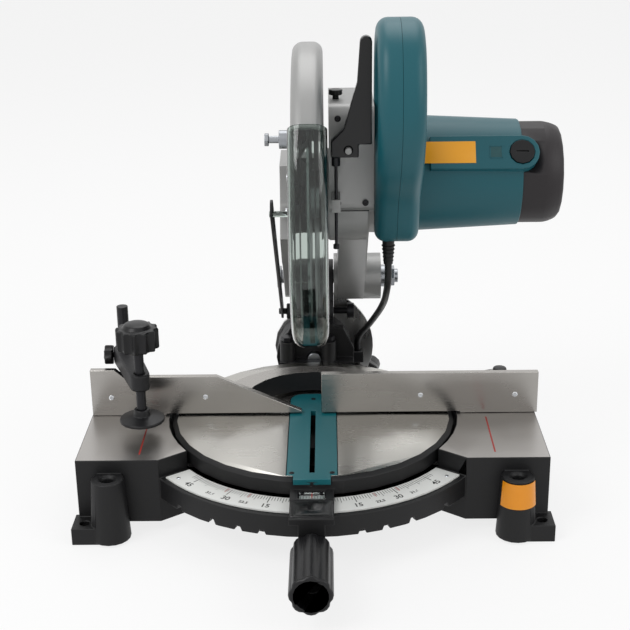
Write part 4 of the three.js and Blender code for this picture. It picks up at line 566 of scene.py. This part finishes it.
# Pointer: a clear plastic block on the turntable's neck that stands over the mitre scale. A red
# line on its top reads the angle, and two small screws hold it.
POINTER = {"half": 0.45, "front_in": 1.5, "rear_in": 2, "foot": 0.02, "proud": 0.2, "screw_x": 9,
           "screw_in": 3.4}
lens_piece = copy_of("pointer_lens", 0.6)
# Clear acrylic: glassy block
clear_plastic = finish_of("clear acrylic", "f4f8f8", 0.04, 0.0, Transmission_Weight=1.0, IOR=1.49)
dress(lens_piece, clear_plastic)
lens_low, lens_high = [corner * 1000 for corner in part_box("pointer_lens")]
pointer_line = box_piece(
    "pointer_line", (-POINTER["half"], lens_low.y + POINTER["front_in"], lens_high.z + POINTER["foot"]),
    (POINTER["half"], lens_high.y - POINTER["rear_in"], lens_high.z + POINTER["proud"]))
dress(pointer_line, red_print)
put_on(pointer_line, "turntable", "clear")
for side, side_name in ((-1, "left"), (1, "right")):
    spot = (side * POINTER["screw_x"], lens_high.y - POINTER["screw_in"], lens_high.z)
    screw(f"lens_screw_{side_name}", spot, (0, 0, 1), 2.0, 1.2, black_oxide, "turntable", "dark")


# Thumb plate: a dished steel plate with black enamel at the front of the pointer, which the
# thumb pushes down to lift the detent.
thumb_piece = copy_of("thumb_lever", 0.6, 3)
# Gloss black enamel: deep black with clear highlights
gloss_black = finish_of("gloss black enamel", "0d0d0f", 0.22, Specular_IOR_Level=0.4)
dress(thumb_piece, gloss_black)


# Mitre grip: a fluted grip moulded in black plastic on a threaded steel rod. Turning it clamps
# the turntable, which turns on its own steel bolt in the base.
grip_piece = copy_of("mitre_grip", 1.0, 3, 28)
dress(grip_piece, black_plastic)
rod_piece = copy_of("lock_rod", 0.3)
# Bright steel: turned rods and bolts
bright_steel = grain(finish_of("bright steel", "9c9fa3", 0.28, 1.0), 0.5, 0.005)
dress(rod_piece, bright_steel)
centre_piece = copy_of("centre_bolt", 1.0)
dress(centre_piece, bright_steel)


# Tilting arm: a black-painted casting that leans about a bolt behind the table. A bright
# arc plate beside it carries the bevel degrees, and two set screws stop the lean.
BEVEL = {"from": 62.5, "short": 65.5, "to": 69, "half": 0.3, "under": 0.1, "proud": 0.12, "zero": 15,
         "axis": 0.080, "step": 5, "last": 45}
arm_piece = copy_of("bevel_arm", 0.8)
dress(arm_piece, dark_cast)
bevel_plate = copy_of("bevel_scale", 0.3)
# Bright plate: rolled aluminium of the small scale
bright_plate = milled("rolled aluminium", "c3c3c2", 0.3, (1, 1, 0.04))
dress(bevel_plate, bright_plate)
plate_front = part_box("bevel_scale")[1].y * 1000
bevel_marks = []
for degree in range(0, BEVEL["last"] + 1, BEVEL["step"]):
    inner = BEVEL["from"] if degree % 15 == 0 else BEVEL["short"]
    mark = box_piece("mark", (-BEVEL["half"], plate_front - BEVEL["under"], inner),
                     (BEVEL["half"], plate_front + BEVEL["proud"], BEVEL["to"]))
    lean = Matrix.Rotation(math.radians(BEVEL["zero"] + degree), 4, "Y")
    mark.data.transform(Matrix.Translation((0, 0, BEVEL["axis"])) @ lean)
    bevel_marks.append(mark)
bevel_print = joined("bevel_degree_lines", bevel_marks)
dress(bevel_print, scale_ink)
put_on(bevel_print, "arm", "machined")


# Bolts of the arm: the tilt bolt, the head's pivot and its nut in bright turned steel, and the
# two stop screws and the locking pin in black oxide.
for node in ("bevel_bolt", "pivot_shaft", "pivot_nut"):
    dress(copy_of(node, 0.5), bright_steel)
for node in ("bevel_stop_left", "bevel_stop_right", "stopper_pin"):
    dress(copy_of(node, 0.4), black_oxide)


# Tilt lever and spring: a black plastic lever behind the arm clamps its lean, and a coil spring
# of black steel round the pivot lifts the head.
dress(copy_of("bevel_lock_lever", 0.8, 3), black_plastic)
spring_piece = copy_of("return_spring", 0.0, sharp=50)
dress(spring_piece, black_oxide)


# Blade: a ground steel disc with carbide-tipped teeth. Two flanges and a bolt clamp it on the
# spindle, which a gear drives from the motor.
blade_piece = copy_of("saw_blade", 0.0)
# Ground blade steel: bright, with a soft sheen
blade_steel = finish_of("ground blade steel", "a4a7aa", 0.3, 1.0)
dress(blade_piece, blade_steel)
for node in ("outer_flange", "arbor_bolt"):
    dress(copy_of(node, 0.4), black_oxide)
for node in ("spindle", "spindle_gear", "rotor_shaft"):
    dress(copy_of(node), bright_steel)


# Inside of the motor: a wound rotor on the shaft, the ring of the stator round it, and a
# moulded fan. They can't be seen from outside.
# Wound copper: dull red-brown metal
copper = finish_of("wound copper", "8a4f2e", 0.4, 0.6)
dress(copy_of("rotor_core"), copper)
dress(copy_of("stator"), black_oxide)
dress(copy_of("cooling_fan"), black_plastic)


# Blade case: a die-cast housing over the top of the blade, sprayed silver-grey, with an ear
# down to the pivot. Its rim is rounded in one sweep.
ARBOR = (-7, 322)
CASE = {"outer": 148, "sides": (-15.2, 14), "inner": 145, "inner_sides": (-12.2, 11), "inner_share": 0.69,
        "round": 9.8, "rear": 137, "left_from": 14}
case_piece = copy_of("blade_case")


def from_arbor(point):
    """How far a point in millimetres lies from the blade's axis."""
    return math.hypot(point.y - ARBOR[0], point.z - ARBOR[1])


def on_rim(ends, radius, sides):
    """Whether an edge's ends lie on a circle round the blade's axis, in one of two side planes."""
    on_circle = all(abs(from_arbor(p) - radius) < 0.3 for p in ends)
    return on_circle and all(min(abs(p.x - side) for side in sides) < 0.1 for p in ends)


def case_share(*ends):
    """The long edges of the rim, outside and inside, in front of the bridge to the ear."""
    if ends[0].x * ends[1].x < 0 or min(p.y for p in ends) > CASE["rear"]:
        return 0
    highest = max(math.degrees(math.atan2(p.z - ARBOR[1], p.y - ARBOR[0])) for p in ends)
    if ends[0].x < 0 and highest < CASE["left_from"]:
        return 0
    if on_rim(ends, CASE["outer"], CASE["sides"]):
        return 1
    return CASE["inner_share"] if on_rim(ends, CASE["inner"], CASE["inner_sides"]) else 0


round_some(case_piece, CASE["round"], 6, case_share)
soften(case_piece, 0.6, 2, 50)
# Silver casting paint: soft grey sheen over a fine cast skin
silver_paint = grain(finish_of("silver casting paint", "9b9b9a", 0.38, 0.35), 1.2, 0.03)
dress(case_piece, silver_paint)


# Centre cover: a round pressed cover, blackened, that hides the arbor bolt on the left of the
# case. Two bright screws hold it.
COVER = {"screws": 26, "turn": 25}
cover_piece = copy_of("centre_cover", 1.2, 3)
dress(cover_piece, black_oxide)
cover_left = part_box("centre_cover")[0].x * 1000
for number in range(2):
    angle = math.radians(COVER["turn"] + 180 * number)
    back, up = COVER["screws"] * math.cos(angle), COVER["screws"] * math.sin(angle)
    spot = (cover_left, ARBOR[0] + back, ARBOR[1] + up)
    screw(f"cover_screw_{number}", spot, (-1, 0, 0), 3.4, 1.8, zinc, "head", "steel")


# Lower guard: a moulded, smoke-tinted clear shell round the front of the blade, turning on a
# boss whose bolt shows on the left; a dark bar lifts it as the head comes down.
GUARD = {"outer": 152, "sides": (-18, 18), "inner": 149, "inner_sides": (-15.8, 15.8), "inner_share": 0.7,
         "round": 12}
guard_piece = copy_of("lower_guard")


def guard_share(*ends):
    """The long edges of the rim, outside and inside."""
    if ends[0].x * ends[1].x < 0:
        return 0
    if on_rim(ends, GUARD["outer"], GUARD["sides"]):
        return 1
    return GUARD["inner_share"] if on_rim(ends, GUARD["inner"], GUARD["inner_sides"]) else 0


round_some(guard_piece, GUARD["round"], 7, guard_share)
clean(guard_piece, 50)
# Smoked clear plastic: glossy, and see-through with a grey-green tint
smoked_plastic = finish_of("smoked clear plastic", "b3beb8", 0.03, 0.0, Transmission_Weight=1.0, IOR=1.46)
dress(guard_piece, smoked_plastic)
dress(copy_of("guard_boss", 0.5), bright_steel)
dress(copy_of("guard_link", 0.4), black_oxide)


# Gear housing: two silver-sprayed castings bolted together along a level seam, carrying the
# spindle, the motor and the arm down to the pivot.
HOUSING = {"seam": ((23, -58.35, 318.6), (57, -57.6, 319.4)), "screw_y": -57.9,
           "screws": ((27.5, 408), (53.5, 408), (27.5, 327), (53.5, 327))}
gear_piece = copy_of("gear_housing")
soften(gear_piece, 1.6, 3, 38, held=True)
dress(gear_piece, silver_paint)
seam = box_piece("gear_housing_seam", *HOUSING["seam"])
# Joint line: the dark gap between the two castings
dark_gap = finish_of("dark joint line", "0d0d0d", 0.8)
dress(seam, dark_gap)
put_on(seam, "head", "cast")
for number, (x, z) in enumerate(HOUSING["screws"]):
    screw(f"housing_screw_{number}", (x, HOUSING["screw_y"], z), (0, -1, 0), 3.0, 2.2, black_oxide,
          "head", "dark")
dress(copy_of("shaft_lock", 0.8, 3), black_plastic)


# Motor: a teal moulded body and a black end cap, with a raised band along the front and back
# that ends round a brush cap. A plain yellow label lies on the front band.
MOTOR = {"axis": (30.85, 332.85), "band": 57, "flat": 60.0, "side": 230, "end": 240, "core": 41,
         "round": 4.5, "end_share": 0.45}
motor_piece = copy_of("motor_housing", 0.8, 2, 40)
# Textured teal plastic: the body colour, with a fine moulded grain that softens highlights
teal_body = grain(finish_of("teal textured plastic", "0e545e", 0.42, Specular_IOR_Level=0.4), 0.7, 0.02)
dress(motor_piece, teal_body)
cap_piece = copy_of("motor_end_cap")


def cap_share(*ends):
    """The round edges of the cap's outside, from its side over to its end."""
    reach = min(math.hypot(p.y - MOTOR["axis"][0], p.z - MOTOR["axis"][1]) for p in ends)
    if abs(ends[0].x - ends[1].x) > 0.05 or ends[0].x < MOTOR["side"] or reach < MOTOR["core"]:
        return 0
    return 1 if ends[0].x < MOTOR["end"] else MOTOR["end_share"]


round_some(cap_piece, MOTOR["round"], 4, cap_share)
clean(cap_piece, 40)
# Black textured plastic: the motor's end
black_body = grain(finish_of("black textured plastic", "242022", 0.5, Specular_IOR_Level=0.35), 0.8, 0.03)
dress(cap_piece, black_body)
for node in ("brush_cap_front", "brush_cap_rear"):
    dress(copy_of(node, 0.4, 2), black_plastic)


def on_band(obj):
    """Turns a piece made level round the motor's axis onto the front raised band."""
    middle = Matrix.Translation((0, MOTOR["axis"][0] / 1000, MOTOR["axis"][1] / 1000))
    obj.data.transform(middle @ Matrix.Rotation(math.radians(MOTOR["band"]), 4, "X"))
    return obj


LABEL = {"left": 106.5, "right": 161, "half": 11, "film": 0.3}
motor_label = on_band(box_piece("motor_label", (LABEL["left"], -LABEL["half"], MOTOR["flat"]),
                                (LABEL["right"], LABEL["half"], MOTOR["flat"] + LABEL["film"]), 0.1))
# Yellow film: plain label stock with a slight gloss
label_yellow = finish_of("yellow label film", "eda21b", 0.3)
dress(motor_label, label_yellow)
put_on(motor_label, "head", "teal")

WINDOW = {"left": 174.6, "right": 186.8, "half": 6.2, "wall": 0.8, "proud": 0.35, "floor": 0.12,
          "inset": 0.6}
x_low, x_high, reach, wall = (WINDOW[key] for key in ("left", "right", "half", "wall"))
window_frame = []
for x0, x1, y0, y1 in ((x_low, x_high, -reach, wall - reach), (x_low, x_high, reach - wall, reach),
                       (x_low, x_low + wall, -reach, reach), (x_high - wall, x_high, -reach, reach)):
    window_frame.append(box_piece("rim", (x0, y0, MOTOR["flat"]), (x1, y1, MOTOR["flat"] + WINDOW["proud"])))
motor_recess = on_band(joined("motor_recess_rim", window_frame))
dress(motor_recess, teal_body)
put_on(motor_recess, "head", "teal")
inset = WINDOW["inset"]
recess_floor = on_band(box_piece("motor_recess_floor", (x_low + inset, inset - reach, MOTOR["flat"]),
                                 (x_high - inset, reach - inset, MOTOR["flat"] + WINDOW["floor"])))
# Painted shade: a darker teal on the floor of the small square recess, standing in for the shade in the
# hollow
teal_painted_shade = finish_of("teal plastic with painted shade", "0c4548", 0.5)
dress(recess_floor, teal_painted_shade)
put_on(recess_floor, "head", "teal")


# Handle: a D-shaped grip moulded in two teal halves that meet on a middle seam. Its lines are
# smooth loops round the outside and the opening, and a pocket holds the trigger.
HANDLE = {"left": 62, "right": 104, "seam": 83, "gap": 0.3, "height": 213, "depth": 138, "rear": -14,
          "foot": 290, "round": 10.5, "weld": 0.00001, "pocket": ((75.2, -141.3, 411.8), (90.8, -110, 466.4))}
HANDLE_OUTLINE_SHARES = [
    (-0.16, 0), (-0.35, 0), (-0.58, 0.22), (-0.86, 0.40), (-1, 0.58), (-0.98, 0.78), (-0.85, 0.93),
    (-0.61, 1), (-0.28, 0.97), (-0.07, 0.86), (0, 0.70), (-0.02, 0.54), (-0.13, 0.42), (-0.15, 0.20),
]
HANDLE_HOLE_SHARES = [
    (-0.74, 0.52), (-0.79, 0.68), (-0.70, 0.83), (-0.50, 0.885), (-0.28, 0.83), (-0.21, 0.68),
    (-0.27, 0.53), (-0.52, 0.46),
]


def handle_loop(shares):
    """A smooth closed line in the handle's own plane, in metres."""
    rear, foot = HANDLE["rear"], HANDLE["foot"]
    points = [(rear + a * HANDLE["depth"], foot + b * HANDLE["height"], 0) for a, b in shares]
    around = smooth_route([points[-1], *points, points[0], points[1]])
    return around[ROUTE_STEPS : -ROUTE_STEPS - 1]


handle_data = bpy.data.curves.new("handle", "CURVE")
handle_data.dimensions = "2D"
handle_data.fill_mode = "BOTH"
handle_data.extrude = (HANDLE["right"] - HANDLE["left"]) / 2000 - HANDLE["round"] / 1000
handle_data.bevel_depth = HANDLE["round"] / 1000
handle_data.bevel_resolution = 5
handle_data.offset = -HANDLE["round"] / 1000
for shares in (HANDLE_OUTLINE_SHARES, HANDLE_HOLE_SHARES):
    loop = handle_loop(shares)
    line = handle_data.splines.new("POLY")
    line.points.add(len(loop) - 1)
    for spot, at in zip(line.points, loop):
        spot.co = (*at, 1)
    line.use_cyclic_u = True
handle_curve = bpy.data.objects.new("handle", handle_data)
bpy.context.collection.objects.link(handle_curve)
pick_only(handle_curve)
bpy.ops.object.convert(target="MESH")
handle_body = bpy.context.object
upright = Matrix(((0, 0, 1, HANDLE["seam"] / 1000), (1, 0, 0, 0), (0, 1, 0, 0), (0, 0, 0, 1)))
handle_body.data.transform(upright)
pick_only(handle_body)
bpy.ops.object.mode_set(mode="EDIT")
bpy.ops.mesh.select_all(action="SELECT")
bpy.ops.mesh.remove_doubles(threshold=HANDLE["weld"])
bpy.ops.mesh.normals_make_consistent(inside=False)
bpy.ops.object.mode_set(mode="OBJECT")
trigger_room = box_piece("trigger_room", *HANDLE["pocket"])
apply_modifier(handle_body, "BOOLEAN", operation="DIFFERENCE", object=trigger_room)
bpy.data.objects.remove(trigger_room)
for node, side in (("handle_left", -1), ("handle_right", 1)):
    half = bpy.data.objects.new(f"{node}_look", handle_body.data.copy())
    bpy.context.collection.objects.link(half)
    pick_only(half)
    bpy.ops.object.mode_set(mode="EDIT")
    bpy.ops.mesh.select_all(action="SELECT")
    cut_at = (HANDLE["seam"] + side * HANDLE["gap"] / 2) / 1000
    bpy.ops.mesh.bisect(plane_co=(cut_at, 0, 0), plane_no=(side, 0, 0), use_fill=True, clear_inner=True)
    bpy.ops.object.mode_set(mode="OBJECT")
    clean(half, 40)
    dress(half, teal_body)
    put_on(half, owners[node], slots[node], node)
bpy.data.objects.remove(handle_body)


# Trigger and safety lever: the black trigger in the handle's opening, and left of the handle a
# tall enamelled lever with the rod that frees the guard.
dress(copy_of("trigger", 1.0, 3), black_plastic)
dress(copy_of("safety_lever", 1.2, 3), gloss_black)
dress(copy_of("lever_rod", 0.2), black_oxide)


# Bend relief: a tapered rubber sleeve round the lead where it leaves the handle's foot, moulded
# with five ribs that let it bend evenly.
GLAND = {"x": 0.076, "y": -0.046, "first": 0.2655, "step": 0.0038, "reach": 0.0046, "widen": 0.00036,
         "rib": 0.0006, "ribs": 5}
gland_piece = copy_of("cord_gland", 0.0, sharp=50)
dress(gland_piece, flex_rubber)
gland_rings = []
for number in range(GLAND["ribs"]):
    bpy.ops.mesh.primitive_torus_add(
        location=(GLAND["x"], GLAND["y"], GLAND["first"] + number * GLAND["step"]),
        major_radius=GLAND["reach"] + number * GLAND["widen"], minor_radius=GLAND["rib"],
        major_segments=24, minor_segments=8)
    ring = bpy.context.object
    bpy.ops.object.transform_apply(location=True, rotation=True, scale=True)
    gland_rings.append(ring)
gland_ribs = joined("gland_ribs", gland_rings)
clean(gland_ribs, 60)
dress(gland_ribs, flex_rubber)
put_on(gland_ribs, "head", "rubber")


# Dust nozzle: a short black plastic pipe behind the case that blows the chips to the rear.
# A bag or a hose fits over it.
dress(copy_of("dust_nozzle", 0.6), black_plastic)


# Plug: black plastic with two round pins, moulded on the end of the lead. It lies beside the
# coil on the bench.
plug_look = copy_of("plug", 1.0, 2)
dress(plug_look, black_plastic)


# Vise: a dark rod in the left socket, a cast arm clamped on it and a screw with a scalloped
# knob above and a round pad below.
for node in ("vise_rod", "vise_screw"):
    dress(copy_of(node, 0.4), black_oxide)
for node in ("vise_rod_screw", "vise_arm_screw"):
    dress(copy_of(node, 0.5), black_plastic)
vise_casting = copy_of("vise_arm", 1.2, 3)
dress(vise_casting, dark_cast)
pad_piece = copy_of("vise_pad", 0.8, 3)
# Dark enamel: the pad's smooth black paint
dark_enamel = finish_of("dark satin enamel", "161618", 0.35, Specular_IOR_Level=0.3)
dress(pad_piece, dark_enamel)
knob_piece = copy_of("vise_knob", 1.0, 3, 30)
dress(knob_piece, black_plastic)


# Studio: a pale paper floor that keeps the saw's soft shadow and is white to the camera, a
# white room beyond it, and three soft boxes.
STUDIO = {"floor": 60, "under": -0.0002, "glow_share": 0.8, "room_dim": 0.5, "room_bright": 1.0,
          "aim": (0, 0, 0.22)}
bpy.ops.mesh.primitive_plane_add(size=STUDIO["floor"], location=(0, 0, STUDIO["under"]))
floor = bpy.context.object
floor.name = "studio_floor"
# White paper: matt, and close to the white beyond it
floor_paper = finish_of("white paper floor", "f2f2f2", 0.9)
floor_tree = floor_paper.node_tree
floor_path = add_node(floor_tree, "ShaderNodeLightPath")
floor_seen = add_node(floor_tree, "ShaderNodeMath", {0: floor_path.outputs["Is Camera Ray"],
                                                     1: floor_path.outputs["Is Glossy Ray"]},
                      operation="MAXIMUM")
floor_white = add_node(floor_tree, "ShaderNodeMath", {0: floor_seen.outputs[0],
                                                      1: floor_path.outputs["Is Transmission Ray"]},
                       operation="MAXIMUM")
floor_share = add_node(floor_tree, "ShaderNodeMath", {0: floor_white.outputs[0], 1: STUDIO["glow_share"]},
                       operation="MULTIPLY")
floor_glow = add_node(floor_tree, "ShaderNodeEmission", {"Color": (1, 1, 1, 1), "Strength": 1.0})
floor_mix = add_node(floor_tree, "ShaderNodeMixShader", {"Fac": floor_share.outputs[0]})
floor_tree.links.new(floor_tree.nodes["Principled BSDF"].outputs[0], floor_mix.inputs[1])
floor_tree.links.new(floor_glow.outputs[0], floor_mix.inputs[2])
floor_tree.links.new(floor_mix.outputs[0], floor_tree.nodes["Material Output"].inputs["Surface"])
dress(floor, floor_paper)

studio = bpy.data.worlds.new("studio")
bpy.context.scene.world = studio
studio.use_nodes = True
studio_tree = studio.node_tree
studio_path = add_node(studio_tree, "ShaderNodeLightPath")
studio_seen = add_node(studio_tree, "ShaderNodeMath", {0: studio_path.outputs["Is Camera Ray"],
                                                       1: studio_path.outputs["Is Transmission Ray"]},
                       operation="MAXIMUM")
studio_white = add_node(studio_tree, "ShaderNodeMath", {0: studio_seen.outputs[0],
                                                        1: studio_path.outputs["Is Glossy Ray"]},
                        operation="MAXIMUM")
studio_strength = add_node(studio_tree, "ShaderNodeMapRange", {
    "Value": studio_white.outputs[0], "To Min": STUDIO["room_dim"], "To Max": STUDIO["room_bright"]})
backdrop = studio_tree.nodes["Background"]
backdrop.inputs["Color"].default_value = (1, 1, 1, 1)
studio_tree.links.new(studio_strength.outputs["Result"], backdrop.inputs["Strength"])


def soft_lamp(name, place, watts, size):
    """A square soft box aimed at the middle of the saw."""
    bpy.ops.object.light_add(type="AREA", location=place)
    lamp = bpy.context.object
    lamp.name = name
    lamp.data.energy = watts
    lamp.data.size = size
    aim = Vector(STUDIO["aim"]) - Vector(place)
    lamp.rotation_euler = aim.to_track_quat("-Z", "Y").to_euler()
    return lamp


soft_lamp("key_softbox", (-1.2, -1.0, 1.7), 17, 1.0)
soft_lamp("fill_softbox", (1.6, -0.9, 1.2), 9, 1.2)
soft_lamp("top_softbox", (0.1, 0.9, 2.0), 12, 1.4)

bpy.context.scene.view_settings.view_transform = "Standard"
